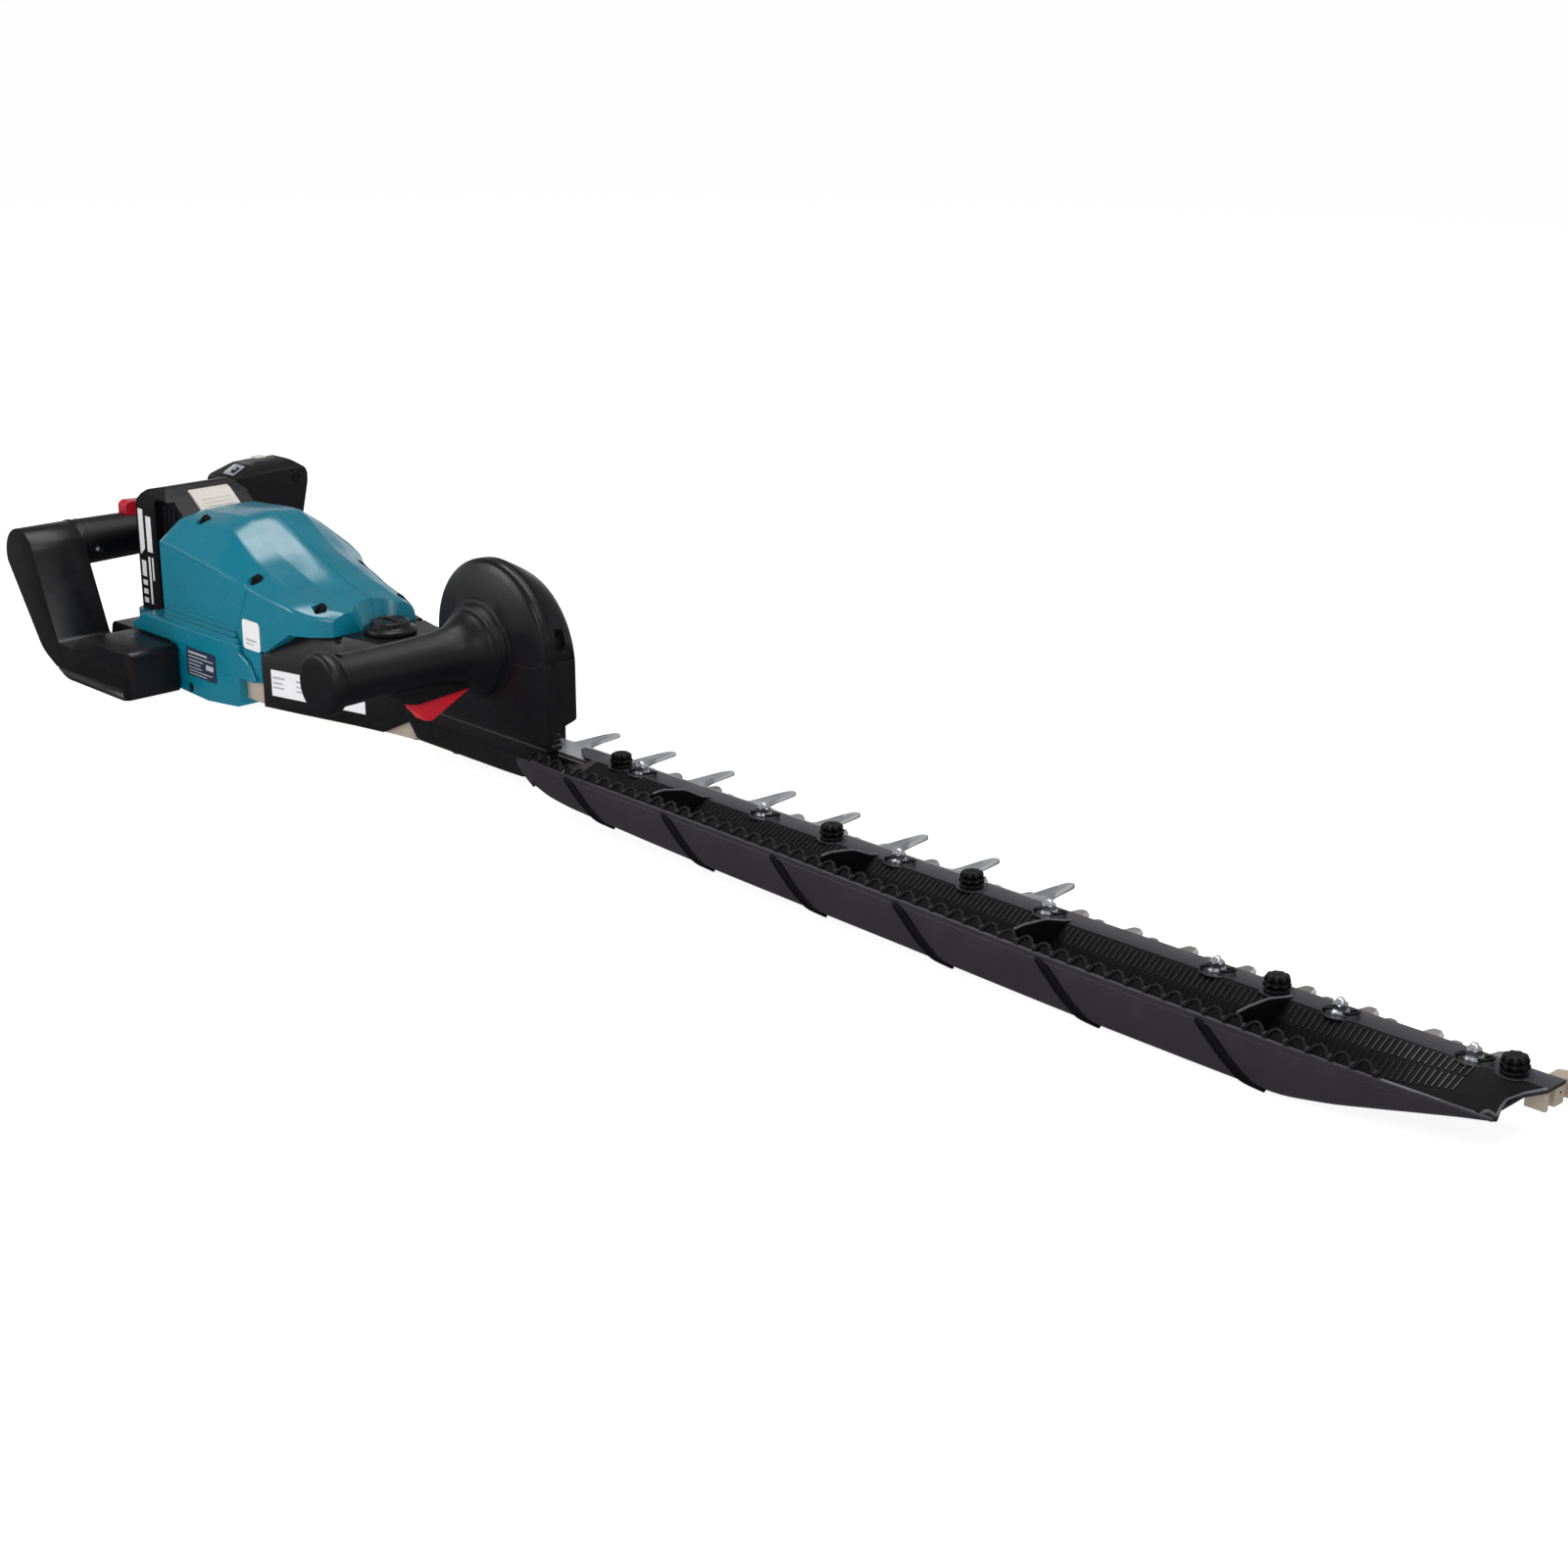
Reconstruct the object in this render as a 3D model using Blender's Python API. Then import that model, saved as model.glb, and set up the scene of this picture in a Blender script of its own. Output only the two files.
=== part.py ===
"""Cordless single-sided hedge trimmer, modelled as an assembly of named parts.

The tool frame used below is in millimetres: +X runs along the blade to its tip, +Y is the side
the teeth are on, +Z is up, and its origin is the top of the blade strip at the first bolt.
ORIGIN moves that frame so that the world origin is the middle of the footprint on the ground.
"""

import math

import bmesh
import bpy

MM = 0.001
ORIGIN = (-12.0, 35.0, 28.5)

# Blade: the tooth pitch drives every spacing along it.
PITCH = 38.0
BOLT_X = [0, 3 * PITCH, 6 * PITCH, 9 * PITCH, 12 * PITCH, 14 * PITCH, 16 * PITCH]
KNOB_X = [-20.0, 173.0, 285.0, 494.0, 630.0]
STACK_GAP = 0.3
STRIP_FAR = 11.0
STRIP_NEAR = -5.0
STRIP_THICK = 2.0
COMB_TOP = -2.3
COMB_THICK = 1.5
BAR_TOP = -4.1
BAR_THICK = 3.5
UPPER_TOP = -7.9
BLADE_THICK = 2.2
LOWER_TOP = UPPER_TOP - BLADE_THICK - STACK_GAP
BAR_NEAR = -7.0
BAR_FAR = 15.0
TOOTH_TIP = 34.0
UPPER_TOOTH = -40.0
LOWER_TOOTH = -28.0
TOOTH_COUNT = 18
BLADE_END = 622.0
STROKE_BACK = 4.0
STROKE_AHEAD = 15.0
FINGER_TIP = 50.0
FINGER_FIRST = -81.0
FINGER_PITCH = 57.0
FINGER_COUNT = 8
SHANK_R = 2.3
HOLE_R = 2.7

# Chip receiver: (x, rim y, rim z, lowest z) along its length.
RECEIVER_STATIONS = [
    (-44.0, -56.0, 10.8, -9.5),
    (-24.0, -59.5, 12.0, -12.0),
    (0.0, -61.0, 12.0, -13.5),
    (120.0, -61.0, 11.0, -18.5),
    (280.0, -61.0, 8.0, -22.5),
    (420.0, -61.0, 5.0, -26.0),
    (530.0, -61.0, 3.5, -27.0),
    (558.0, -60.0, 3.0, -23.5),
    (586.0, -58.5, 2.4, -17.5),
    (612.0, -57.0, 1.8, -11.5),
    (634.0, -55.5, 1.0, -7.0),
    (651.0, -53.0, 0.0, -4.6),
]
FIN_X = [66.0, 212.0, 358.0, 504.0]
RIB_X = [-5.0, 87.0, 182.0, 280.0, 383.0, 487.0]
RIB_LEAN = 29.0

# Handles, guard and housing, all about the tool's middle plane y = 0.
CRANK_X = -264.0
IDLER_X = CRANK_X - 36.0
ROTOR_X = IDLER_X - 30.0
THROW = 9.5
DRIVE_R = 10.0
LOOP_HALF = 20.5
LOOP_WALL = 5.0
DRAWN_PHASE = 0.58
HANDLE_X = -100.0
HANDLE_Z = 73.0
CAP_END = -177.0
GUARD_REAR = -154.0
GUARD_FRONT = -41.0
GUARD_NEAR = -45.0
GUARD_FAR = -17.0
GUARD_SPLIT = 70.0
GRIP_X = -605.0
GRIP_Z = 61.0
GRIP_R = 18.0
HOUSING_SPLIT = 0.15
GROUND = -28.5
COVER_TOP = 43.0
CAP_X = -267.0
CAP_Y = -3.0
CAP_R = 18.8
COVER_LINE = [(-347.0, 21.5), (-311.0, COVER_TOP)]
BATTERY_REAR = -548.0
BATTERY_FRONT = -484.0
BATTERY_HALF = 38.0


# ---------------------------------------------------------------- shared tools

def material(name, colour, roughness, metallic=0.0):
    """Return a Principled material of the given colour."""
    found = bpy.data.materials.get(name)
    if found:
        return found
    made = bpy.data.materials.new(name)
    made.use_nodes = True
    shader = made.node_tree.nodes["Principled BSDF"]
    shader.inputs["Base Color"].default_value = (*colour, 1.0)
    shader.inputs["Roughness"].default_value = roughness
    shader.inputs["Metallic"].default_value = metallic
    made.diffuse_color = (*colour, 1.0)
    return made


def black():
    return material("black_plastic", (0.016, 0.015, 0.017), 0.45)


def teal():
    return material("teal_plastic", (0.0, 0.16, 0.21), 0.25)


def steel():
    return material("nickel_steel", (0.42, 0.38, 0.34), 0.3, 1.0)


def silver():
    return material("bright_zinc", (0.75, 0.76, 0.78), 0.25, 1.0)


def red():
    return material("red_plastic", (0.55, 0.012, 0.03), 0.35)


def cast():
    return material("cast_alloy", (0.45, 0.38, 0.31), 0.45, 0.8)


def pale():
    return material("pale_plastic", (0.72, 0.69, 0.64), 0.4)


def label():
    return material("label_grey", (0.03, 0.04, 0.07), 0.4)


def build(name, verts, faces, look, pivot=(0.0, 0.0, 0.0), smooth=False):
    """Make an object from tool-frame vertices, with its origin at pivot."""
    mesh = bpy.data.meshes.new(name)
    local = [tuple((v[i] - pivot[i]) * MM for i in range(3)) for v in verts]
    mesh.from_pydata(local, [], faces)
    shape = bmesh.new()
    shape.from_mesh(mesh)
    bmesh.ops.recalc_face_normals(shape, faces=shape.faces)
    shape.to_mesh(mesh)
    shape.free()
    obj = bpy.data.objects.new(name, mesh)
    bpy.context.collection.objects.link(obj)
    obj.location = [(ORIGIN[i] + pivot[i]) * MM for i in range(3)]
    mesh.materials.append(look)
    if smooth:
        mesh.shade_smooth()
    return obj


def spot(axis, u, v, along):
    """Turn two section coordinates and a distance along an axis into a point."""
    if axis == "X":
        return (along, u, v)
    if axis == "Y":
        return (u, along, v)
    return (u, v, along)


def loft_data(rings):
    """Vertices and faces of a closed loft through rings of equal length."""
    count = len(rings[0])
    verts = [point for ring in rings for point in ring]
    faces = [tuple(range(count)), tuple(range(len(verts) - count, len(verts)))]
    for level in range(len(rings) - 1):
        base = level * count
        for i in range(count):
            j = (i + 1) % count
            faces.append((base + i, base + j, base + count + j, base + count + i))
    return verts, faces


def loft(name, rings, look, pivot=(0.0, 0.0, 0.0), smooth=False):
    verts, faces = loft_data(rings)
    return build(name, verts, faces, look, pivot, smooth)


def prism(name, outline, axis, low, high, look, pivot=(0.0, 0.0, 0.0), smooth=False):
    """Extrude an outline along an axis between two distances."""
    rings = [[spot(axis, u, v, along) for u, v in outline] for along in (low, high)]
    return loft(name, rings, look, pivot, smooth)


def block(name, low, high, look, pivot=(0.0, 0.0, 0.0)):
    outline = [(low[0], low[1]), (high[0], low[1]), (high[0], high[1]), (low[0], high[1])]
    return prism(name, outline, "Z", low[2], high[2], look, pivot)


def spin_data(profile, centre, axis, segments, closed):
    """Vertices and faces of (radius, distance) points turned about an axis."""
    origin = {"X": (centre[1], centre[2], centre[0]),
              "Y": (centre[0], centre[2], centre[1]),
              "Z": (centre[0], centre[1], centre[2])}[axis]
    verts = []
    rows = []
    for radius, along in profile:
        row = []
        for step in range(segments if radius > 0 else 1):
            turn = 2 * math.pi * step / segments
            row.append(len(verts))
            u = origin[0] + radius * math.cos(turn)
            v = origin[1] + radius * math.sin(turn)
            verts.append(spot(axis, u, v, origin[2] + along))
        rows.append(row)
    pairs = list(zip(rows, rows[1:]))
    if closed:
        pairs.append((rows[-1], rows[0]))
    faces = []
    for first, second in pairs:
        for i in range(segments):
            j = (i + 1) % segments
            corners = [first[i % len(first)], first[j % len(first)],
                       second[j % len(second)], second[i % len(second)]]
            faces.append(tuple(dict.fromkeys(corners)))
    return verts, faces


def turned(name, profile, centre, axis, look, segments=32, closed=False,
           pivot=(0.0, 0.0, 0.0), smooth=True):
    verts, faces = spin_data(profile, centre, axis, segments, closed)
    obj = build(name, verts, faces, look, pivot, smooth)
    if smooth:
        obj.data.set_sharp_from_angle(angle=math.radians(35))
    return obj


def rounded(corners, step=30.0):
    """Round each (u, v, radius) corner of an outline with a short arc."""
    outline = []
    count = len(corners)
    for i, (u, v, radius) in enumerate(corners):
        if radius == 0:
            outline.append((u, v))
            continue
        before = corners[i - 1]
        after = corners[(i + 1) % count]
        a = (before[0] - u, before[1] - v)
        b = (after[0] - u, after[1] - v)
        la = math.hypot(*a)
        lb = math.hypot(*b)
        a = (a[0] / la, a[1] / la)
        b = (b[0] / lb, b[1] / lb)
        half = 0.5 * math.acos(max(-1.0, min(1.0, a[0] * b[0] + a[1] * b[1])))
        back = min(radius / math.tan(half), 0.49 * la, 0.49 * lb)
        r = back * math.tan(half)
        mid = (a[0] + b[0], a[1] + b[1])
        lm = math.hypot(*mid)
        reach = r / math.sin(half)
        centre = (u + mid[0] / lm * reach, v + mid[1] / lm * reach)
        start = math.atan2(v + a[1] * back - centre[1], u + a[0] * back - centre[0])
        end = math.atan2(v + b[1] * back - centre[1], u + b[0] * back - centre[0])
        sweep = (end - start + math.pi) % (2 * math.pi) - math.pi
        parts = max(1, round(abs(math.degrees(sweep)) / step))
        for k in range(parts + 1):
            turn = start + sweep * k / parts
            outline.append((centre[0] + r * math.cos(turn), centre[1] + r * math.sin(turn)))
    return outline


def gathered(tools):
    """Join several tool objects into one that is hidden from the render."""
    shape = bmesh.new()
    for tool in tools:
        start = len(shape.verts)
        shape.from_mesh(tool.data)
        shape.verts.ensure_lookup_table()
        for vert in shape.verts[start:]:
            vert.co += tool.location
        bpy.data.objects.remove(tool, do_unlink=True)
    mesh = bpy.data.meshes.new("tool")
    shape.to_mesh(mesh)
    shape.free()
    whole = bpy.data.objects.new("tool", mesh)
    bpy.context.collection.objects.link(whole)
    whole.hide_render = True
    whole.display_type = "WIRE"
    return whole


def combine(obj, others, operation):
    """Apply one Boolean with several tool objects, then remove the tools."""
    whole = gathered(others)
    step = obj.modifiers.new(operation.title(), "BOOLEAN")
    step.operation = operation
    step.solver = "EXACT"
    step.use_self = len(others) > 1
    step.object = whole
    depsgraph = bpy.context.evaluated_depsgraph_get()
    result = bpy.data.meshes.new_from_object(obj.evaluated_get(depsgraph))
    obj.modifiers.clear()
    obj.data = result
    bpy.data.objects.remove(whole, do_unlink=True)
    return obj


def cut(obj, *tools):
    return combine(obj, tools, "DIFFERENCE")


def join(obj, *tools):
    return combine(obj, tools, "UNION")


def soften(obj, width, segments=2, angle=35.0):
    """Round the sharp edges of an object."""
    step = obj.modifiers.new("Edges", "BEVEL")
    step.width = width * MM
    step.segments = segments
    step.limit_method = "ANGLE"
    step.angle_limit = math.radians(angle)
    step.harden_normals = False
    return obj


def keep_side(obj, axis, limit, above):
    """Keep only the part of a closed object on one side of a plane, and close it."""
    shape = bmesh.new()
    shape.from_mesh(obj.data)
    place = [0.0, 0.0, 0.0]
    normal = [0.0, 0.0, 0.0]
    place[axis] = limit * MM
    normal[axis] = -1.0 if above else 1.0
    everything = list(shape.verts) + list(shape.edges) + list(shape.faces)
    made = bmesh.ops.bisect_plane(shape, geom=everything, plane_co=place, plane_no=normal,
                                  clear_outer=True, dist=1e-7)
    rim = [e for e in made["geom_cut"] if isinstance(e, bmesh.types.BMEdge)]
    bmesh.ops.holes_fill(shape, edges=rim, sides=0)
    bmesh.ops.recalc_face_normals(shape, faces=shape.faces)
    shape.to_mesh(obj.data)
    shape.free()
    return obj


def post(x, y, low, high, radius, sides=10):
    """A round tool standing on Z."""
    return turned("tool", [(0, low), (radius, low), (radius, high), (0, high)],
                  (x, y, 0.0), "Z", black(), sides, smooth=False)


def pit(x, y, z, axis, depth, radius, sides=16):
    """A round tool lying along an axis, reaching depth to both sides of a point."""
    profile = [(0, -depth), (radius, -depth), (radius, depth), (0, depth)]
    return turned("tool", profile, (x, y, z), axis, black(), sides, smooth=False)


# ---------------------------------------------------------------- blade group

def all_fixings():
    return BOLT_X + KNOB_X


def guide_bar():
    near = BAR_NEAR
    far = BAR_FAR
    outline = rounded([(-196, near, 0), (637, near, 3), (637, far, 6), (-196, far, 0)])
    bar = prism("guide_bar", outline, "Z", BAR_TOP - BAR_THICK, BAR_TOP, steel())
    holes = [post(x, 0, BAR_TOP - 9, BAR_TOP + 3, HOLE_R) for x in all_fixings()]
    return cut(bar, *holes)


def shear_blade(name, top, first_tooth, back, ahead):
    """One toothed blade with a drive loop at its root and a slot at each bolt.

    back and ahead are how far this blade travels each way from where it is drawn; the loop
    clears the drive cam at every place in that travel.
    """
    sweep = THROW + DRIVE_R
    loop_front = CRANK_X + sweep + back + 1.0
    loop_rear = CRANK_X - sweep - ahead - 1.0
    root = loop_front + LOOP_WALL
    half = LOOP_HALF + LOOP_WALL
    near = BAR_NEAR
    far = BAR_FAR
    outline = [(loop_rear - LOOP_WALL, -half), (root, -half), (root, near),
               (BLADE_END, near), (BLADE_END, far)]
    for k in reversed(range(TOOTH_COUNT)):
        x = first_tooth + PITCH * k
        if x + 9 > BLADE_END:
            continue
        outline += [(x + 9, far), (x + 4.5, TOOTH_TIP - 1.5), (x + 3.4, TOOTH_TIP)]
        outline += [(x - 3.4, TOOTH_TIP), (x - 4.5, TOOTH_TIP - 1.5), (x - 9, far)]
    outline += [(root, far), (root, half), (loop_rear - LOOP_WALL, half)]
    blade = prism(name, outline, "Z", top - BLADE_THICK, top, steel(), (0.0, 0.0, top))
    tools = [block("tool", (loop_rear, -LOOP_HALF, top - 5), (loop_front, LOOP_HALF, top + 5), steel())]
    for x in BOLT_X + KNOB_X[:-1]:
        low = (x - ahead - HOLE_R, -HOLE_R - 0.2, top - 5)
        high = (x + back + HOLE_R, HOLE_R + 0.2, top + 5)
        tools.append(block("tool", low, high, steel()))
    return cut(blade, *tools)


def finger_comb():
    """The stamped comb: a flat strip with long pointed fingers over the first half."""
    far = STRIP_FAR + 6
    outline = [(-103, -4), (334, -4), (334, far)]
    for k in reversed(range(FINGER_COUNT)):
        x = FINGER_FIRST + FINGER_PITCH * k
        outline += [(x + 13, far), (x + 5, far + 5), (x + 1.2, FINGER_TIP)]
        outline += [(x - 1.2, FINGER_TIP), (x - 5, far + 5), (x - 13, far)]
    outline += [(-103, far)]
    comb = prism("finger_comb", outline, "Z", COMB_TOP - COMB_THICK, COMB_TOP, silver())
    inside = [x for x in all_fixings() if x < 330]
    tools = [post(x, 0, COMB_TOP - 5, COMB_TOP + 5, HOLE_R) for x in inside]
    tools.append(post(-94, 8, COMB_TOP - 5, COMB_TOP + 5, 2.6))
    return cut(comb, *tools)


def receiver_ring(x, rim_y, rim_z, low_z):
    """Cross-section of the trough: strip, sloping wall, floor and upturned near wall."""
    t = STRIP_THICK
    width = STRIP_NEAR - rim_y
    depth = -low_z
    inner = [
        (STRIP_FAR, 0.0),
        (STRIP_NEAR, 0.0),
        (STRIP_NEAR - 0.20 * width, -0.30 * (depth - t) - 0.4),
        (STRIP_NEAR - 0.42 * width, -0.80 * (depth - t)),
        (STRIP_NEAR - 0.60 * width, t - depth),
        (STRIP_NEAR - 0.82 * width, t - depth + 1.0),
        (rim_y + t + 1.6, t - depth + 4.5 + 0.1 * depth),
        (rim_y + t, rim_z),
    ]
    outer = [
        (rim_y, rim_z),
        (rim_y + 0.2, 0.45 * (rim_z - low_z) + low_z),
        (rim_y + 2.8, low_z + 2.2 + 0.08 * depth),
        (rim_y + 8.5, low_z),
        (STRIP_NEAR - 0.58 * width, low_z),
        (STRIP_NEAR - 0.40 * width, -0.80 * (depth - t) - t),
        (STRIP_NEAR - 0.20 * width - 0.4, -0.30 * (depth - t) - t - 0.4),
        (STRIP_NEAR - 0.6, -t),
        (STRIP_FAR, -t),
    ]
    return [(x, y, z) for y, z in inner + outer]


def diagonal_rib(x):
    """A leaning rib that stands 1 mm proud of the trough's outer wall."""
    y = RECEIVER_STATIONS[3][1]
    top = 7.0 - 0.012 * x
    low = -12.0 - 0.018 * x
    lean = RIB_LEAN
    outline = [(x, top), (x + 9, top), (x + 9 + lean, low), (x + lean, low)]
    return prism("tool", outline, "Y", y - 1.0, y + 1.0, black())


def chip_receiver():
    rings = [receiver_ring(*station) for station in RECEIVER_STATIONS]
    trough = loft("chip_receiver", rings, black())
    holes = [post(x, 0, -5, 5, HOLE_R) for x in all_fixings()]
    cut(trough, *holes)
    parts = [diagonal_rib(x) for x in RIB_X]
    for x in FIN_X:
        outline = [(-59.6, 4), (-52, 3.5), (-30, 2.4), (-6, 0.4),
                   (-5.5, -1), (-16, -8), (-28, -15), (-59.6, -13)]
        parts.append(prism("tool", outline, "X", x - 1.0, x + 1.0, black()))
    cheek = [[(-70, -47, 5), (-70, -46, 5), (-70, -46, 1), (-70, -47, 1)],
             [(-43, -56, 10.5), (-43, -54.5, 10.5), (-43, -53, -7), (-43, -55, -7)]]
    parts.append(loft("tool", cheek, black()))
    tongue = [(-76, STRIP_FAR), (-43, STRIP_FAR), (-43, -4.5), (-52, -4.5)]
    parts.append(prism("tool", tongue, "Z", -STRIP_THICK, 0.0, black()))
    return join(trough, *parts)


def nose_block():
    outline = [(639, -5.2), (650.5, -5.2), (650.5, -3), (647.5, -3), (647.5, 4), (650.5, 4), (650.5, 12),
               (648, 12), (648, 17), (651, 17), (651, 23), (644, 27), (639, 24)]
    return prism("tip_nose_block", outline, "Z", -12.4, -2.4, silver())


def blade_bolt(index, x):
    profile = [(0, -15.4), (4.6, -15.4), (4.6, -12.9), (SHANK_R, -12.9), (SHANK_R, 0.3), (6.0, 0.3),
               (6.0, 1.5), (4.7, 1.5), (4.7, 5.6), (2.4, 5.6), (2.4, 8.2), (0, 8.2)]
    return turned(f"blade_bolt_{index}", profile, (x, 0, 0), "Z", silver(), 12)


def receiver_knob(index, x):
    """A hand nut; one past the blades' end screws into the guide bar and has no foot below it."""
    cap = [(SHANK_R, 0.3), (6.6, 0.3), (6.6, 1.4), (7.8, 1.8), (8.0, 7.2), (6.6, 9.2), (0, 9.6)]
    if x < BLADE_END:
        foot = [(0, -15.4), (4.6, -15.4), (4.6, -12.9), (SHANK_R, -12.9)]
    else:
        foot = [(0, BAR_TOP - BAR_THICK), (SHANK_R, BAR_TOP - BAR_THICK)]
    return turned(f"receiver_knob_{index}", foot + cap, (x, 0, 0), "Z", black(), 14)


def blade_group():
    guide_bar()
    shear_blade("upper_blade", UPPER_TOP, UPPER_TOOTH, STROKE_BACK, STROKE_AHEAD)
    shear_blade("lower_blade", LOWER_TOP, LOWER_TOOTH, STROKE_AHEAD, STROKE_BACK)
    finger_comb()
    chip_receiver()
    nose_block()
    for index, x in enumerate(BOLT_X, 1):
        blade_bolt(index, x)
    for index, x in enumerate(KNOB_X, 1):
        receiver_knob(index, x)


# ---------------------------------------------------------------- guard and front handle

def base_bracket():
    """The black carrier that wraps the blade root under the guard."""
    section = rounded([(-31, -17.5, 8), (27, -17.5, 5), (27, 15.7, 2), (-41, 15.7, 3), (-41, 4, 12)])
    bracket = prism("base_bracket", section, "X", -199, -46, black())
    riser = block("tool", (-199, -30, 10), (-140, 27, 23.7), black())
    join(bracket, riser)
    corner = block("tool", (-110, -31, -8), (-40, 40, 40), black())
    tunnel = block("tool", (-230, -10, -15.5), (-40, 18, -2.2), black())
    keel_line = [(-130, -17.8), (-84, -15), (-40, -1), (-40, -30), (-130, -30)]
    keel = prism("tool", keel_line, "Y", -50, 50, black())
    return cut(bracket, corner, tunnel, keel)


def arch(y, inset, drop, foot, steps=10):
    """One outline of the guard at a given y: straight sides under a half circle."""
    mid = 0.5 * (GUARD_REAR + GUARD_FRONT)
    radius = 0.5 * (GUARD_FRONT - GUARD_REAR) - inset
    spring = 75.0 - drop
    points = [(mid + radius, y, foot), (mid + radius, y, GUARD_SPLIT - 8)]
    for k in range(steps + 1):
        turn = math.pi * k / steps
        points.append((mid + radius * math.cos(turn), y, spring + radius * math.sin(turn)))
    points += [(mid - radius, y, GUARD_SPLIT - 8), (mid - radius, y, foot)]
    return points


def guard_blank(name):
    rings = [arch(GUARD_FAR, 3, 9, 32), arch(GUARD_FAR - 3, 0, 8, 31), arch(GUARD_NEAR + 9, 0, 0, 27),
             arch(GUARD_NEAR + 4, 0, 0, 16), arch(GUARD_NEAR, 2.5, 0, 16.5), arch(GUARD_NEAR - 4, 12, 1, 22),
             arch(GUARD_NEAR - 6, 22, 2, 30)]
    blank = loft(name, rings, black())
    collar_seat = pit(HANDLE_X, GUARD_NEAR - 8, HANDLE_Z, "Y", 5.0, 33.8, 32)
    return cut(blank, collar_seat)


def hand_guard():
    guard = guard_blank("hand_guard")
    recess = pit(GUARD_FRONT, -30, 90, "X", 2.0, 6.0, 16)
    cut(guard, recess)
    return keep_side(guard, 2, GUARD_SPLIT + HOUSING_SPLIT, True)


def guard_skirt():
    return keep_side(guard_blank("guard_skirt"), 2, GUARD_SPLIT - HOUSING_SPLIT, False)


def front_handle():
    """Round grip with a stepped flare at the guard and a switch pocket underneath."""
    profile = [(0, -48.3), (33.4, -48.3), (33.4, -53), (30, -55), (29, -59), (26.5, -60.5), (25, -65),
               (20.5, -70), (17.6, -80), (16.6, -95), (16.2, -154), (16.8, CAP_END + 12.3),
               (0, CAP_END + 12.3)]
    grip = turned("front_handle", profile, (HANDLE_X, 0, HANDLE_Z), "Y", black(), 36)
    chin_line = rounded([(-122, 60, 0), (-121, 53, 4), (-112, 50, 2), (-112, 60, 0)])
    chin = prism("tool", chin_line, "X", HANDLE_X - 9, HANDLE_X + 9, black())
    join(grip, chin)
    pocket = block("tool", (HANDLE_X - 6.4, -113.5, 20), (HANDLE_X + 6.4, -62.0, 66.5), black())
    return cut(grip, pocket)


def front_cap():
    end = CAP_END
    profile = [(0, end + 12), (18.5, end + 12), (20.2, end + 9.5), (20.4, end + 3.5),
               (18.8, end + 0.7), (0, end)]
    return turned("front_handle_cap", profile, (HANDLE_X, 0, HANDLE_Z), "Y", black(), 36)


def front_lever():
    """The red switch lever under the front handle, hinged at its guard end."""
    outline = [(-63.5, 51.5), (-66, 56), (-111, 57), (-112, 49), (-99, 35), (-94, 34.6), (-64, 49.5)]
    half = 5.9
    pivot = (HANDLE_X, -66.5, 53.5)
    lever = prism("front_lever", outline, "X", HANDLE_X - half, HANDLE_X + half, red(), pivot)
    return soften(lever, 0.8)


def guard_group():
    base_bracket()
    hand_guard()
    guard_skirt()
    front_handle()
    front_cap()
    front_lever()


# ---------------------------------------------------------------- gear case and drive

def gear_case():
    plan = [(-384, -42), (-330, -44), (-240, -33), (-206, -28),
            (-206, 28), (-240, 33), (-330, 44), (-384, 42)]
    case = prism("gear_case", rounded([(x, y, 6) for x, y in plan], 45), "Z", -18, 20, cast())
    hollow = prism("tool", [(-346, -30), (-262, -30), (-217, -26), (-217, 26), (-262, 30), (-346, 30)],
                   "Z", -15.0, 30, cast())
    gate = block("tool", (-230, -8.5, -13.8), (-200, 16.5, -3.0), cast())
    join(case, block("tool", (-381, -55.5, -18), (-350.5, 55.5, 20), cast()))
    return cut(case, hollow, gate)


def cover_ring(x, half, low, shoulder, top=COVER_TOP):
    """Cover section: upright sides, sloped shoulders, flat top."""
    side = min(17.0, top - 2.0)
    return [(x, -half, low), (x, -half, side), (x, -half + shoulder, top),
            (x, half - shoulder, top), (x, half, side), (x, half, low)]


def cover_void(x, half):
    return [(x, -half, -40), (x, half, -40), (x, half, 21), (x, -half, 21)]


def gear_cover():
    """Black cover over the gear case, with sloped shoulders and a flat top."""
    outer = loft("gear_cover", [cover_ring(-349, 58, -16, 3, 20), cover_ring(-347, 60, -17.5, 3, 21.5),
                                cover_ring(-311, 52, -17.5, 9),
                                cover_ring(-262, 40, -17.5, 9), cover_ring(-236, 35, -17.5, 7),
                                cover_ring(-206, 31, -3, 6)], black())
    deck = prism("tool", [(-240, -30), (-158, -27), (-158, 29), (-240, 30)], "Z", 24.2, COVER_TOP, black())
    join(outer, deck)
    inner = loft("tool", [cover_void(-360, 47), cover_void(-330, 46), cover_void(-240, 33.5),
                          cover_void(-205.5, 28.5)], black())
    mouth = block("tool", (-210, -28.2, -42), (-203, 28.2, 20.8), black())
    motor_well = post(ROTOR_X, 0, 15, 60, 27.5, 32)
    bearing = post(IDLER_X, 0, 15, 24, 5.4, 24)
    rear_mouth = block("tool", (-360, -20, 15), (ROTOR_X - 10, 20, 60), black())
    screw = post(-281, 33, COVER_TOP - 4, COVER_TOP + 4, 3.2, 12)
    return cut(outer, inner, mouth, motor_well, bearing, rear_mouth, screw)


def warning_plate():
    """Blank label plate lying along the near face of the gear cover."""
    slant = (60 - 40) / (345 - 262)
    def face(x):
        return -60 - 0.3 + slant * (x + 345)
    rings = [[(x, face(x), low), (x, face(x), high), (x, face(x) - 0.5, high), (x, face(x) - 0.5, low)]
             for x, low, high in ((-338, -7.5, 12), (-268, -7.5, 11))]
    return loft("cover_label", rings, label())


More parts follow.
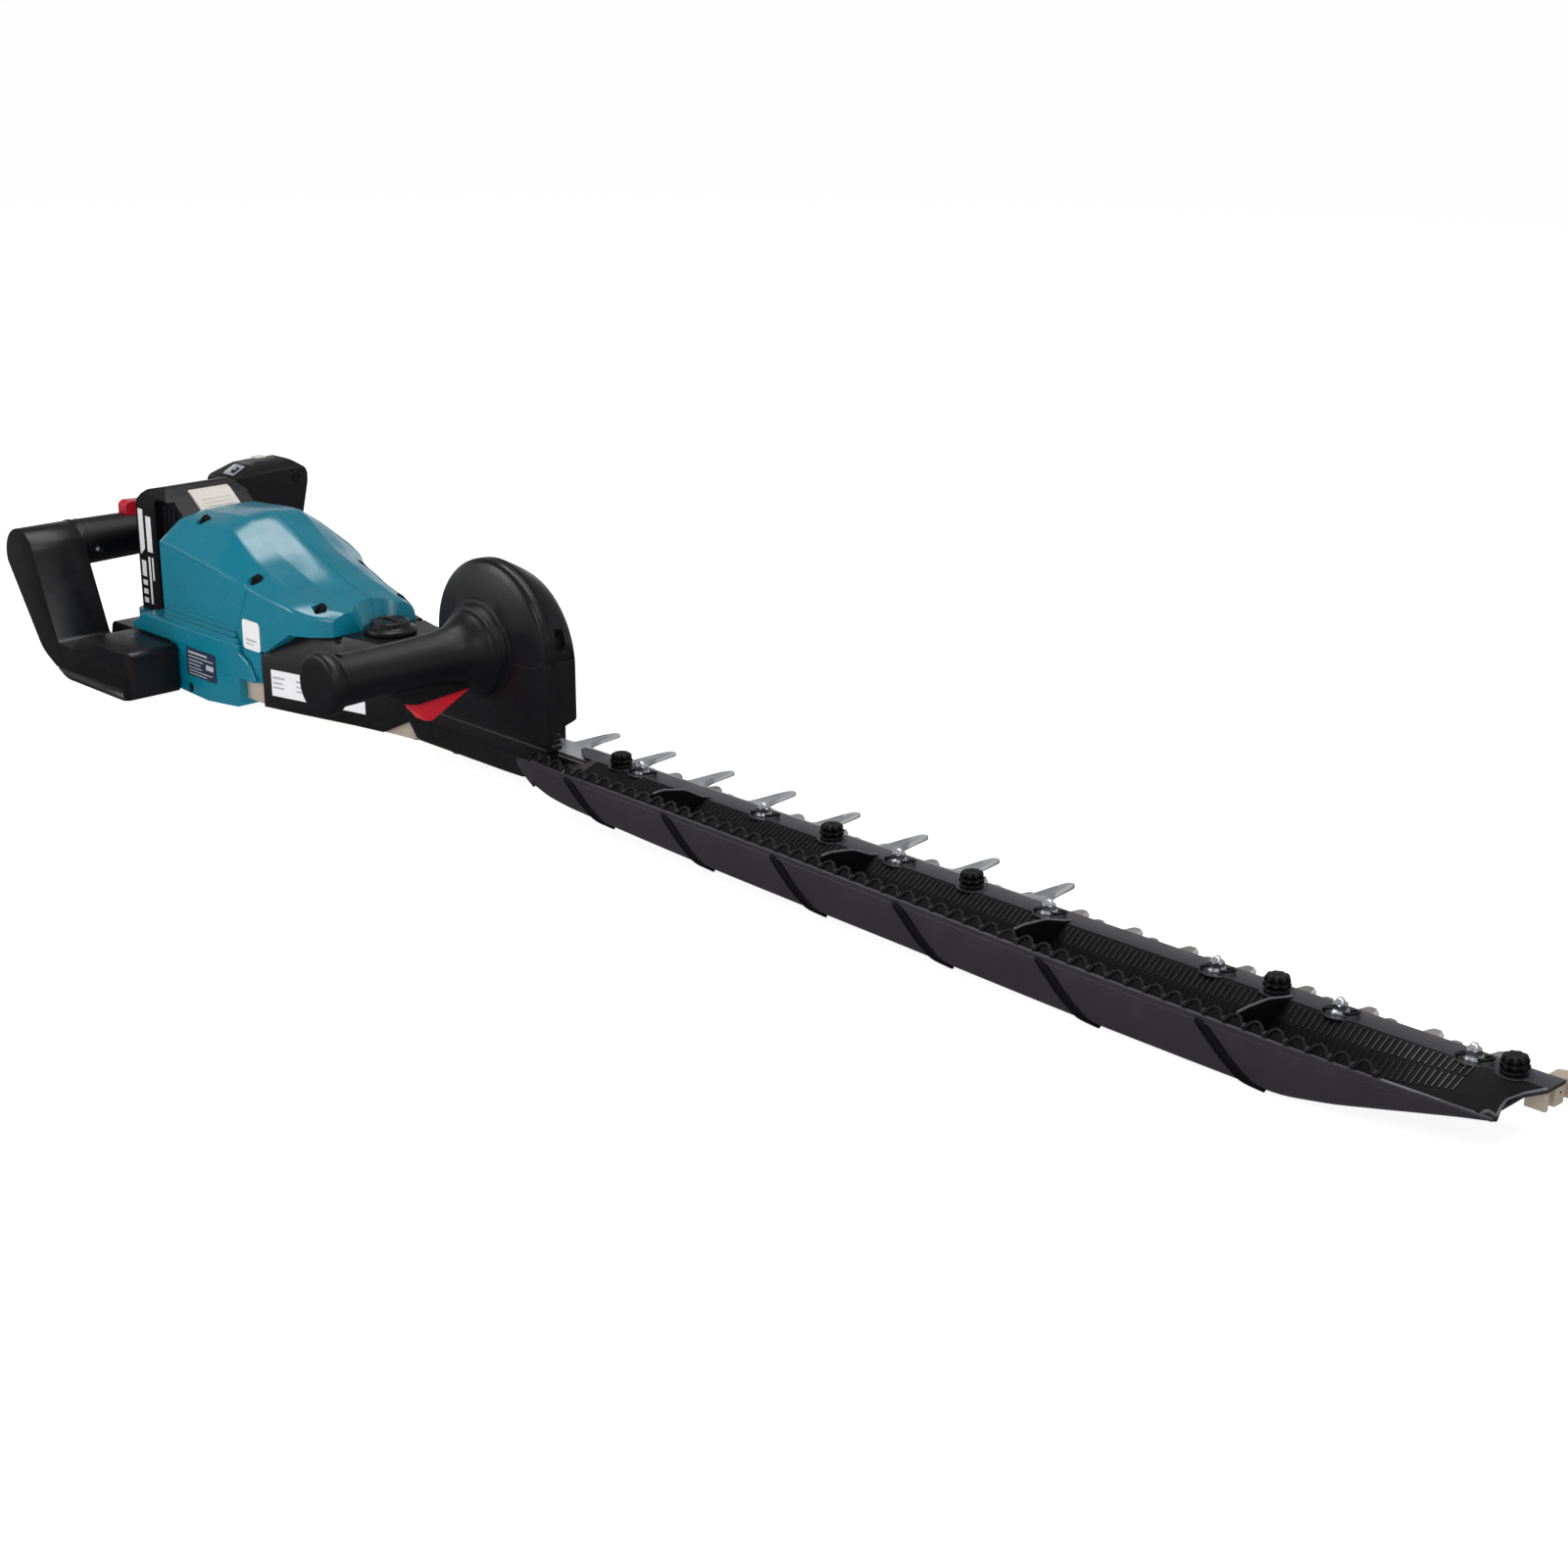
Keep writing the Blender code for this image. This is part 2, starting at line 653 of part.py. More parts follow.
def cover_knob():
    z = COVER_TOP
    profile = [(0, z + 0.3), (CAP_R, z + 0.3), (CAP_R, z + 3.6), (CAP_R - 2, z + 4.8), (14.5, z + 5.2),
               (14.2, z + 8.4), (12.5, z + 9.3), (0, z + 9.3)]
    return turned("grease_cap", profile, (CAP_X, CAP_Y, 0), "Z", black(), 32)


def crank_gear():
    """Large gear, its shaft and, under it, the cam that works the blade loops."""
    profile = [(0, -4), (8, -4), (8, 8), (26.85, 8), (26.85, 16), (6, 16), (6, 19.5), (0, 19.5)]
    pivot = (CRANK_X, 0.0, 0.0)
    disc = turned("crank_gear", profile, pivot, "Z", steel(), 32, pivot=pivot)
    cam = post(CRANK_X - THROW * DRAWN_PHASE, 0, -12.4, -4.2, DRIVE_R, 24)
    web = post(CRANK_X, 0, -4.4, -3.9, THROW + DRIVE_R, 24)
    return join(disc, web, cam)


def idler_gear():
    profile = [(0, -6), (5, -6), (5, -3), (21.85, -3), (21.85, 5), (8.85, 5), (8.85, 16), (4.9, 16),
               (4.9, 22.5), (0, 22.5)]
    pivot = (IDLER_X, 0.0, 0.0)
    return turned("idler_gear", profile, pivot, "Z", steel(), 32, pivot=pivot)


def motor_rotor():
    profile = [(0, -12), (7.85, -12), (7.85, 6), (4, 6), (4, 26), (13, 26), (13, 52), (4, 52),
               (4, 60), (0, 60)]
    pivot = (ROTOR_X, 0.0, 0.0)
    return turned("motor_rotor", profile, pivot, "Z", steel(), 28, pivot=pivot)


def drive_group():
    gear_case()
    gear_cover()
    warning_plate()
    cover_knob()
    crank_gear()
    idler_gear()
    motor_rotor()
    ring = [(14.0, 25), (26.5, 25), (26.5, 54), (14.0, 54)]
    turned("motor_stator", ring, (ROTOR_X, 0, 0), "Z", cast(), 32, closed=True)
    profile = [(0, -18.3), (6.5, -18.3), (6.5, -22.5), (5.0, -24.0), (0, -24.0)]
    turned("underside_bolt", profile, (-178, -12, 0), "Z", silver(), 12)


# ---------------------------------------------------------------- housing

# (x, crown z, drop at the crest edge, near width, near shoulder z, far width, far shoulder z)
HOUSING_STATIONS = [
    (-479.0, 100.0, 1.0, 57.0, 80.0, 57.0, 80.0),
    (-474.0, 103.0, 1.0, 60.0, 84.0, 60.0, 84.0),
    (-459.0, 104.0, 1.0, 60.0, 82.5, 60.0, 82.5),
    (-411.0, 108.0, 3.0, 60.0, 76.0, 60.0, 76.0),
    (-390.0, 99.5, 6.0, 60.0, 73.0, 58.0, 70.0),
    (-372.0, 91.5, 7.5, 60.0, 70.5, 50.0, 66.0),
    (-347.0, 80.0, 5.0, 60.0, 66.5, 44.0, 62.5),
    (-331.0, 73.5, 4.0, 60.0, 65.0, 41.0, 59.0),
    (-311.0, 66.5, 2.0, 60.0, 62.5, 39.0, 55.0),
    (-296.0, 63.0, 2.0, 53.0, 58.0, 36.0, 52.0),
    (-283.5, 60.0, 2.0, 41.0, 55.0, 31.0, 49.0),
]
CREST = 22.0


def body_ring(x, crown, drop, near, near_z, far, far_z, low):
    """Housing section: crowned top, sloped shoulder on each side, upright walls."""
    near_mid = (x, -0.5 * (CREST + near), 0.5 * (crown - drop + near_z) + 1.5)
    far_mid = (x, 0.5 * (CREST + far), 0.5 * (crown - drop + far_z) + 1.5)
    return [(x, -near, low), (x, -near, near_z), near_mid, (x, -CREST, crown - drop), (x, 0, crown),
            (x, CREST, crown - drop), far_mid, (x, far, far_z), (x, far, low)]


def housing_outside(name):
    """Outside of the motor housing, cut away below where the gear cover's top meets it."""
    body = loft(name, [body_ring(*station, 24.0) for station in HOUSING_STATIONS], teal())
    first, second = COVER_LINE
    lift = 0.3
    below = [(first[0] - lift, -60), (first[0] - lift, first[1] + lift), (second[0], second[1] + lift),
             (-200, second[1] + lift), (-200, -60)]
    return cut(body, prism("tool", below, "Y", -90, 90, teal()))


def housing_inside():
    """The hollow for the motor and electronics, a wall thickness in from the outside."""
    wall = 3.0
    rings = []
    for x, crown, drop, near, near_z, far, far_z in HOUSING_STATIONS[1:-1]:
        rings.append([(x, -near + wall, 5), (x, -near + wall, near_z - wall),
                      (x, -CREST, crown - drop - wall),
                      (x, CREST, crown - drop - wall), (x, far - wall, far_z - wall), (x, far - wall, 5)])
    rings[0] = [(x + wall, y, z) for x, y, z in rings[0]]
    return loft("tool", rings, teal())


def housing_blank(name):
    blank = housing_outside(name)
    side = rounded([(-468, GROUND + 2, 3), (-421, GROUND, 2), (-376, -24, 4), (-376, 26, 0), (-470, 26, 0)])
    box = prism("tool", side, "Y", -62, 62, teal())
    back = BATTERY_REAR - 4
    shoe_line = [(back, -44, 10), (-480, -44.4, 0), (-470, -63, 3), (-372, -63, 4),
                 (-372, 63, 4), (-470, 63, 3), (-480, 44.4, 0), (back, 44, 10)]
    shoe = prism("tool", rounded(shoe_line), "Z", 9, 16, teal())
    ledge_line = rounded([(-520, 9, 2), (-520, 13, 6), (-503, 24.5, 10), (-372, 24.5, 0), (-372, 9, 0)])
    ledge = prism("tool", ledge_line, "Y", -63, 63, teal())
    skirt = loft("tool", [[(x, -h, -1.5), (x, h, -1.5), (x, h, 40), (x, -h, 40)]
                          for x, h in ((-386, 60), (-356, 60.5), (-351, 58))], teal())
    join(blank, box, shoe, ledge, skirt)
    belly = block("tool", (-462, -58, GROUND + 5), (-396, 58, 30), teal())
    under = block("tool", (-397, -56.5, -40), (-345, 56.5, 30), teal())
    edge = BATTERY_HALF + 0.4
    bay = block("tool", (BATTERY_REAR - 0.4, -edge, -5), (BATTERY_FRONT + 0.4, edge, 50), teal())
    places = ((-460.5, -38, 97.4), (-363.7, -57, 71.9), (-299.8, -47, 60.3))
    screws = [pit(x, y, z, "Y", 9, 4.6) for x, y, z in places]
    screws.append(pit(-445, -62, -23, "Y", 2.5, 4.2))
    cap_clearance = [(0, 42), (CAP_R + 2.2, 42), (CAP_R + 8.2, 63), (0, 63)]
    nose = turned("tool", cap_clearance, (CAP_X, CAP_Y, 0), "Z", teal(), 32, smooth=False)
    return cut(blank, housing_inside(), belly, under, bay, nose, *screws)


def housing_group():
    keep_side(housing_blank("housing_near_shell"), 1, -HOUSING_SPLIT, False)
    keep_side(housing_blank("housing_far_shell"), 1, HOUSING_SPLIT, True)
    block("rating_plate", (-447, -62.8, -13), (-407, -62.3, 8.5), label())
    block("side_label", (-369, -60.9, 25), (-347, -60.6, 41), pale())


# ---------------------------------------------------------------- rear handle

def near_arm():
    """L-shaped near side of the rear loop: slanted arm and foot."""
    outline = rounded([(-627, 72, 10), (-618, 78, 8), (-594, 79, 10), (-577, 62, 9), (-553, 3, 4),
                       (-546, 8.2, 3), (-457, 8.2, 4), (-457, GROUND, 4), (-553, GROUND, 12),
                       (-580, -15, 10), (-627, 56, 8)])
    arm = prism("rear_handle_near_arm", outline, "Y", -108, -63.5, black())
    return soften(arm, 3.0, 3, 50)


def rear_grip():
    profile = [(0, -63.2), (17.5, -63.2), (GRIP_R, -58), (GRIP_R - 0.6, -20), (GRIP_R - 1.5, 20),
               (GRIP_R - 1.0, 46.7), (0, 46.7)]
    grip = turned("rear_grip", profile, (GRIP_X, 0, GRIP_Z), "Y", black(), 32)
    slot = block("tool", (GRIP_X + 9, 0, 45), (GRIP_X + 30, 40, 69), black())
    well = block("tool", (GRIP_X - 7, -19, 68), (GRIP_X + 7, 12, 90), black())
    return cut(grip, slot, well)


def far_arm():
    """Tall far side of the rear loop, which carries the control panel."""
    side = rounded([(-627, 70, 10), (-612, 82, 10), (-582, 91, 10), (-557, 117, 8), (-533, 119.5, 5),
                    (-529, 112, 6), (-531, 40, 0), (-515, GROUND, 6), (-553, GROUND, 12),
                    (-580, -15, 12), (-627, 56, 8)])
    arm = prism("rear_handle_far_arm", side, "Y", 20, 112, black())
    low = GROUND - 5
    face = rounded([(47, low, 0), (47, 96, 4), (40, 103, 3), (40, 107.5, 3), (57, 116, 8), (90, 118.7, 12),
                    (107, 108, 8), (107, 98, 8), (99, 60, 20), (95, low, 0)])
    mask = prism("tool", face, "X", -650, -500, black())
    combine(arm, [mask], "INTERSECT")
    return cut(arm, button_pocket())


def cross_member():
    """Bar under the battery that joins both arms of the rear loop to the housing."""
    outline = rounded([(-560, -22, 8), (-553, 8.4, 5), (-470.5, 8.4, 0), (-470.5, GROUND, 4),
                       (-548, GROUND, 8)])
    return prism("rear_handle_cross", outline, "Y", -63.2, 46.7, black())


def rear_trigger():
    rear = GRIP_X + 12.5
    points = [(GRIP_X + 17, 49), (GRIP_X + 20.5, 51), (GRIP_X + 17.5, 65), (GRIP_X + 14, 68),
              (rear, 68), (rear, 49)]
    trigger = prism("rear_trigger", points, "Y", 1, 39, red(), (GRIP_X + 13.5, 20.0, 67.0))
    return soften(trigger, 0.8)


def lock_off():
    outline = rounded([(-18, 72, 0), (-18, 85.5, 2.5), (-14, 88, 2), (11, 86.5, 3), (11, 72, 0)])
    return prism("lock_off_button", outline, "X", GRIP_X - 6, GRIP_X + 6, red(), (GRIP_X, -4.0, 80.0))


def on_slope(name, y0, y1, x0, x1, low, high, look):
    """A thin plate lying on the sloped face of the far arm between two heights over it."""
    rise = (116 - 107.5) / (57 - 40)
    z0 = 107.5 + rise * (y0 - 40)
    z1 = 107.5 + rise * (y1 - 40)
    points = [(y0, z0 + low), (y1, z1 + low), (y1, z1 + high), (y0, z0 + high)]
    return prism(name, points, "X", x0, x1, look)


def button_pocket():
    return on_slope("tool", 44.6, 50.4, -543.4, -537.6, -3.5, 4.0, black())


def panel_group():
    """Control panel and its button, and the lamp pad, on the far arm."""
    grey = material("panel_grey", (0.35, 0.35, 0.4), 0.4)
    panel = on_slope("control_panel", 42.5, 54, -551, -535.5, 0.5, 1.4, grey)
    cut(panel, button_pocket())
    on_slope("power_button", 45, 50, -543, -538, -1.5, 2.6, material("button_black", (0.03, 0.03, 0.03), 0.4))
    block("lamp_pad", (-548, 66, 119.8), (-538, 76, 120.4), pale())


def rear_group():
    near_arm()
    rear_grip()
    far_arm()
    cross_member()
    rear_trigger()
    lock_off()
    panel_group()


# ---------------------------------------------------------------- battery

def battery_case():
    rear = BATTERY_REAR
    front = BATTERY_FRONT
    side = rounded([(rear, 11, 2), (front, 11, 2), (front, 92, 4), (-504, 108, 4), (-514, 114.5, 6),
                    (-534, 110.5, 6), (rear, 100, 8)])
    case = prism("battery_case", side, "Y", -BATTERY_HALF, BATTERY_HALF, black())
    far_slope = prism("tool", [(BATTERY_HALF + 1, 100), (BATTERY_HALF + 1, 130), (10, 130), (24, 115)], "X",
                      rear - 5, front + 5, black())
    sides = [block("tool", (-520, y0, 17), (front + 5, y1, 104), black())
             for y0, y1 in ((-50, -32), (32, 50))]
    label_seat = block("tool", (-546, -50, 18), (-523, -BATTERY_HALF + 0.9, 96), black())
    button_seat = loft("tool", [[(-508.5, y, 130), (-479, y, 130), (-479, y, 87), (-508.5, y, 106.5)]
                                for y in (-16, 20)], black())
    cut(case, far_slope, label_seat, button_seat, *sides)
    return soften(case, 1.6, 2, 50)


def battery_button():
    """The pale release button on the sloping front of the battery."""
    points = [(-508.2, 107), (-484.4, 91.3), (-484.4, 94.8), (-488, 98), (-503, 109.2), (-508.2, 111.3)]
    return prism("battery_release_button", points, "Y", -15.6, 19.6, pale())


def battery_label():
    """Blank label band let into the near side of the battery."""
    y = -BATTERY_HALF
    return block("battery_label", (-545.5, y + 0.1, 18.5), (-523.5, y + 0.6, 95.5), label())


def terminal_block():
    return block("battery_terminal_block", (-538, -20, 8.7), (-500, 20, 10.7), black())


def battery_group():
    battery_case()
    battery_button()
    battery_label()
    terminal_block()


def clear_scene():
    for obj in list(bpy.data.objects):
        bpy.data.objects.remove(obj, do_unlink=True)


def main():
    clear_scene()
    blade_group()
    guard_group()
    drive_group()
    housing_group()
    rear_group()
    battery_group()


main()
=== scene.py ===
"""Looks of the cordless single-sided hedge trimmer.

Sizes below are millimetres in the tool frame: +X runs along the blade to its tip, +Y is the
toothed side, +Z is up, and the origin is the top of the blade strip at the first bolt. ORIGIN
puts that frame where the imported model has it.
"""

import math

import bmesh
import bpy
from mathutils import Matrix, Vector


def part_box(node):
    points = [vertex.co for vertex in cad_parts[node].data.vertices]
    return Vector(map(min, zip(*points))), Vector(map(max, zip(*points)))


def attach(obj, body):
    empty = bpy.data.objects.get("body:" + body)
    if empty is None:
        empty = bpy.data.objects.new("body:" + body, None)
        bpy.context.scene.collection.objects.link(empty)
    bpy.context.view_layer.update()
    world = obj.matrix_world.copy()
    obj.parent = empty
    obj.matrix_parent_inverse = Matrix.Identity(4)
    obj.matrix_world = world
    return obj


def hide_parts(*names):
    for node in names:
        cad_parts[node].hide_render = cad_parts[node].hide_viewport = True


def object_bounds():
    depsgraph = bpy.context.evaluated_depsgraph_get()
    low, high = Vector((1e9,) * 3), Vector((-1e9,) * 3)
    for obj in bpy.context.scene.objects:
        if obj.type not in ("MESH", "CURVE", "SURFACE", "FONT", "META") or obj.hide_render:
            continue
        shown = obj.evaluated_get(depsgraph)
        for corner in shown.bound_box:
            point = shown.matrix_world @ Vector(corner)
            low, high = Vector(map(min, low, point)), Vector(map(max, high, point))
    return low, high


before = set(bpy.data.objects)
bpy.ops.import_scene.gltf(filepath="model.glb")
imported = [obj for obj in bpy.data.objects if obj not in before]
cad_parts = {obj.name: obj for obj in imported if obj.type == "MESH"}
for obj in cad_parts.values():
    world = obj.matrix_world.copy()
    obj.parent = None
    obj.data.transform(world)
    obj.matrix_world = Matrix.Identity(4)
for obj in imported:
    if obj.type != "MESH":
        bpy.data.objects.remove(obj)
CAD_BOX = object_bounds()

MM = 0.001
FIRST_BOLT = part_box("blade_bolt_1")
# z of the bolts' lower ends in the tool frame
BOLT_FOOT = -15.4
ORIGIN = (500.0 * (FIRST_BOLT[0][0] + FIRST_BOLT[1][0]), 500.0 * (FIRST_BOLT[0][1] + FIRST_BOLT[1][1]),
          1000.0 * FIRST_BOLT[0][2] - BOLT_FOOT)


def tool_box(node):
    """A CAD node's box in tool-frame millimetres."""
    low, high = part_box(node)
    return [[1000.0 * corner[i] - ORIGIN[i] for i in range(3)] for corner in (low, high)]


def middle(node, axis):
    """The middle of a CAD node's box along one axis (0, 1 or 2)."""
    low, high = tool_box(node)
    return 0.5 * (low[axis] + high[axis])


# ---------------------------------------------------------------- materials

class Nodes:
    """A small helper that adds and links the nodes of one material."""

    def __init__(self, name):
        self.material = bpy.data.materials.new("look_" + name)
        self.material.use_nodes = True
        self.tree = self.material.node_tree
        self.shader = self.tree.nodes["Principled BSDF"]
        self.place = self.tree.nodes.new("ShaderNodeTexCoord").outputs["Object"]

    def add(self, kind, **settings):
        node = self.tree.nodes.new("ShaderNode" + kind)
        for key, value in settings.items():
            setattr(node, key, value)
        return node

    def link(self, output, target):
        self.tree.links.new(output, target)

    def noise(self, scale, detail=3.0, stretch=None):
        node = self.add("TexNoise")
        node.inputs["Scale"].default_value = scale
        node.inputs["Detail"].default_value = detail
        place = self.place
        if stretch:
            mapping = self.add("Mapping")
            mapping.inputs["Scale"].default_value = stretch
            self.link(place, mapping.inputs["Vector"])
            place = mapping.outputs["Vector"]
        self.link(place, node.inputs["Vector"])
        return node.outputs["Fac"]

    def ramp(self, value, stops):
        node = self.add("ValToRGB")
        while len(node.color_ramp.elements) < len(stops):
            node.color_ramp.elements.new(0.5)
        for element, (at, colour) in zip(node.color_ramp.elements, stops):
            element.position = at
            element.color = (*colour, 1.0)
        self.link(value, node.inputs["Fac"])
        return node.outputs["Color"]

    def spread(self, value, low, high, source=(0.3, 0.7)):
        node = self.add("MapRange")
        node.inputs["From Min"].default_value = source[0]
        node.inputs["From Max"].default_value = source[1]
        node.inputs["To Min"].default_value = low
        node.inputs["To Max"].default_value = high
        self.link(value, node.inputs["Value"])
        return node.outputs["Result"]

    def mix(self, factor, first, second):
        node = self.add("Mix", data_type="RGBA")
        self.link(factor, node.inputs["Factor"])
        self.link(first, node.inputs["A"])
        if isinstance(second, tuple):
            node.inputs["B"].default_value = (*second, 1.0)
        else:
            self.link(second, node.inputs["B"])
        return node.outputs["Result"]

    def bump(self, value, strength, distance):
        node = self.add("Bump")
        node.inputs["Strength"].default_value = strength
        node.inputs["Distance"].default_value = distance
        self.link(value, node.inputs["Height"])
        return node.outputs["Normal"]


def scaled(colour, by):
    """A colour made lighter or darker."""
    return tuple(min(1.0, c * by) for c in colour)


LOOKS = {}
# grain that is not drawn out along any axis
EVEN = (1.0, 1.0, 1.0)


def plastic(name, colour, rough, coat=0.0, grain=1400.0, depth=4e-5, vary=0.12, edge_lift=0.35, specular=0.5):
    """Moulded plastic: faint colour drift, handled patches, fine grain and convex edges made lighter."""
    made = Nodes(name)
    drift = made.noise(28.0, 4.0)
    speck = made.noise(420.0, 2.0)
    base = made.ramp(drift, [(0.3, scaled(colour, 1.0 - vary)), (0.72, scaled(colour, 1.0 + vary))])
    dust = tuple(c * 0.95 + 0.008 for c in colour)
    patch = made.spread(speck, 0.0, 0.05, (0.62, 0.85))
    base = made.mix(patch, base, dust)
    # convex edges made lighter
    edge = made.spread(made.add("NewGeometry").outputs["Pointiness"], 0.0, edge_lift, (0.52, 0.60))
    base = made.mix(edge, base, tuple(c * 1.3 + 0.01 for c in colour))
    made.link(base, made.shader.inputs["Base Color"])
    made.link(made.spread(made.noise(75.0, 5.0), rough - 0.05, rough + 0.07), made.shader.inputs["Roughness"])
    made.link(made.bump(made.noise(grain, 2.0), 0.35, depth), made.shader.inputs["Normal"])
    made.shader.inputs["Specular IOR Level"].default_value = specular
    made.shader.inputs["Coat Weight"].default_value = coat
    made.shader.inputs["Coat Roughness"].default_value = 0.2
    LOOKS[name] = made.material


def metal(name, colour, rough, stretch, grain=900.0, depth=3e-5, metallic=1.0, vary=0.14, edge_lift=0.4):
    """Bare metal: drawn or ground lines, smudges and brighter edges."""
    made = Nodes(name)
    lines = made.noise(grain, 3.0, stretch)
    smudge = made.noise(40.0, 5.0)
    base = made.ramp(smudge, [(0.3, scaled(colour, 1.0 - vary)), (0.7, scaled(colour, 1.0 + 0.5 * vary))])
    base = made.mix(made.spread(lines, 0.0, 0.22), base, scaled(colour, 0.7))
    edge = made.spread(made.add("NewGeometry").outputs["Pointiness"], 0.0, edge_lift, (0.52, 0.60))
    base = made.mix(edge, base, scaled(colour, 1.25))
    made.link(base, made.shader.inputs["Base Color"])
    made.link(made.spread(smudge, rough - 0.06, rough + 0.10), made.shader.inputs["Roughness"])
    made.link(made.bump(lines, 0.4, depth), made.shader.inputs["Normal"])
    made.shader.inputs["Metallic"].default_value = metallic
    LOOKS[name] = made.material


def make_looks():
    plastic("satin_black", (0.0062, 0.0055, 0.0066), 0.3, depth=2e-5, specular=0.3)
    plastic("grip_black", (0.004, 0.0035, 0.0045), 0.4, grain=900.0, depth=7e-5, specular=0.3)
    # The trough's own dark grey, lifted further to stand in for the soft reflection on its outer wall: partly
    # painted reflection.
    plastic("trough_grey_and_sheen", (0.023, 0.0205, 0.0245), 0.36, depth=2e-5)
    plastic("rubber_black", (0.004, 0.004, 0.0045), 0.4, depth=6e-5, specular=0.16)
    plastic("teal_gloss", (0.0, 0.175, 0.255), 0.24, coat=0.35, grain=700.0, depth=2e-6, vary=0.05, edge_lift=0.0)
    plastic("signal_red", (0.5, 0.008, 0.02), 0.3, coat=0.2, grain=900.0, depth=2e-5, vary=0.08)
    plastic("pale_button", (0.66, 0.62, 0.57), 0.38, grain=1200.0, depth=3e-5, vary=0.05)
    plastic("label_white", (0.80, 0.79, 0.80), 0.36, coat=0.2, grain=500.0, depth=1e-5, vary=0.03, edge_lift=0.0)
    plastic("label_dark", (0.022, 0.032, 0.062), 0.34, coat=0.2, grain=500.0, depth=1e-5, vary=0.06, edge_lift=0.0)
    plastic("label_mark", (0.42, 0.43, 0.46), 0.4, grain=500.0, depth=1e-5, vary=0.05, edge_lift=0.0)
    plastic("panel_grey", (0.30, 0.30, 0.36), 0.32, coat=0.3, grain=600.0, depth=1e-5, vary=0.05)
    # Pale grey for painted highlight along the trough's rim, its curved end and the fin crests.
    plastic("highlight_grey", (0.10, 0.097, 0.105), 0.24, grain=900.0, depth=1e-5, vary=0.05)
    # Near-black used for painted shade in the trough, its hooks, fins and slanting bands and in the housing's
    # screw pits; also the nose block's seam lines and the guard's screw head.
    plastic("shade_seam_and_screw_black", (0.0025, 0.0022, 0.0028), 0.55, edge_lift=0.0, specular=0.12)
    metal("zinc_plate", (0.74, 0.75, 0.78), 0.3, EVEN, grain=1200.0, depth=4e-6, vary=0.05, edge_lift=0.1)
    metal("nickel_steel", (0.55, 0.52, 0.49), 0.28, (0.08, 1.0, 1.0), grain=1500.0)
    metal("blade_steel", (0.62, 0.60, 0.57), 0.26, (1.0, 0.06, 1.0), grain=1500.0)
    metal("cast_alloy", (0.50, 0.42, 0.35), 0.5, EVEN, grain=1300.0, depth=0.00014, metallic=0.35)


# ---------------------------------------------------------------- mesh tools

BOX_FACES = [(0, 1, 2, 3), (4, 5, 6, 7), (0, 1, 5, 4), (1, 2, 6, 5), (2, 3, 7, 6), (3, 0, 4, 7)]


def raw(name, verts, faces, look, sharp=35.0):
    """An object from tool-frame vertices, smooth but for edges sharper than sharp degrees."""
    mesh = bpy.data.meshes.new(name)
    mesh.from_pydata([tuple((v[i] + ORIGIN[i]) * MM for i in range(3)) for v in verts], [], faces)
    shape = bmesh.new()
    shape.from_mesh(mesh)
    bmesh.ops.recalc_face_normals(shape, faces=shape.faces)
    shape.to_mesh(mesh)
    shape.free()
    mesh.materials.append(LOOKS[look])
    obj = bpy.data.objects.new(name, mesh)
    bpy.context.collection.objects.link(obj)
    mesh.shade_smooth()
    if sharp:
        mesh.set_sharp_from_angle(angle=math.radians(sharp))
    return obj


def spot(axis, u, v, along):
    """The point at (u, v) in the plane across an axis and at a distance along it."""
    return {"X": (along, u, v), "Y": (u, along, v), "Z": (u, v, along)}[axis]


def loft(name, rings, look, sharp=35.0, closed=False, caps=True):
    """A solid through rings of equal length."""
    count = len(rings[0])
    verts = [point for ring in rings for point in ring]
    faces = [tuple(range(count)), tuple(range(len(verts) - count, len(verts)))] if caps and not closed else []
    for level in range(len(rings) if closed else len(rings) - 1):
        base = level * count
        above = ((level + 1) % len(rings)) * count
        for i in range(count):
            j = (i + 1) % count
            faces.append((base + i, base + j, above + j, above + i))
    return raw(name, verts, faces, look, sharp)


def prism(name, outline, axis, low, high, look, sharp=35.0):
    """An outline pulled straight along an axis."""
    return loft(name, [[spot(axis, u, v, along) for u, v in outline] for along in (low, high)], look, sharp)


def block(name, low, high, look):
    outline = [(low[0], low[1]), (high[0], low[1]), (high[0], high[1]), (low[0], high[1])]
    return prism(name, outline, "Z", low[2], high[2], look)


def tool(outline, axis, low, high):
    """A prism that only cuts or joins: the piece it works on keeps its own look."""
    return prism("tool", outline, axis, low, high, "satin_black")


def tool_block(low, high):
    """A box that only cuts or joins."""
    return block("tool", low, high, "satin_black")


def turned(name, profile, centre, axis, look, segments=64, closed=False, flutes=(0, 0.0, 0.0, 0.0),
           sharp=35.0):
    """A turned solid; flutes are (count, depth, from, to): ribs between two distances along the axis."""
    order = {"X": (1, 2, 0), "Y": (0, 2, 1), "Z": (0, 1, 2)}[axis]
    cu, cv, ca = (centre[i] for i in order)
    count, depth, start, end = flutes
    verts = []
    rows = []
    for radius, along in profile:
        row = []
        for step in range(segments if radius > 0 else 1):
            turn = 2 * math.pi * step / segments
            r = radius
            if count and start <= along <= end:
                r -= depth * (0.5 + 0.5 * math.cos(count * turn)) ** 2
            row.append(len(verts))
            verts.append(spot(axis, cu + r * math.cos(turn), cv + r * math.sin(turn), ca + along))
        rows.append(row)
    pairs = list(zip(rows, rows[1:])) + ([(rows[-1], rows[0])] if closed else [])
    faces = []
    for first, second in pairs:
        for i in range(segments):
            j = (i + 1) % segments
            corners = [row[k % len(row)] for row, k in ((first, i), (first, j), (second, j), (second, i))]
            faces.append(tuple(dict.fromkeys(corners)))
    return raw(name, verts, faces, look, sharp)


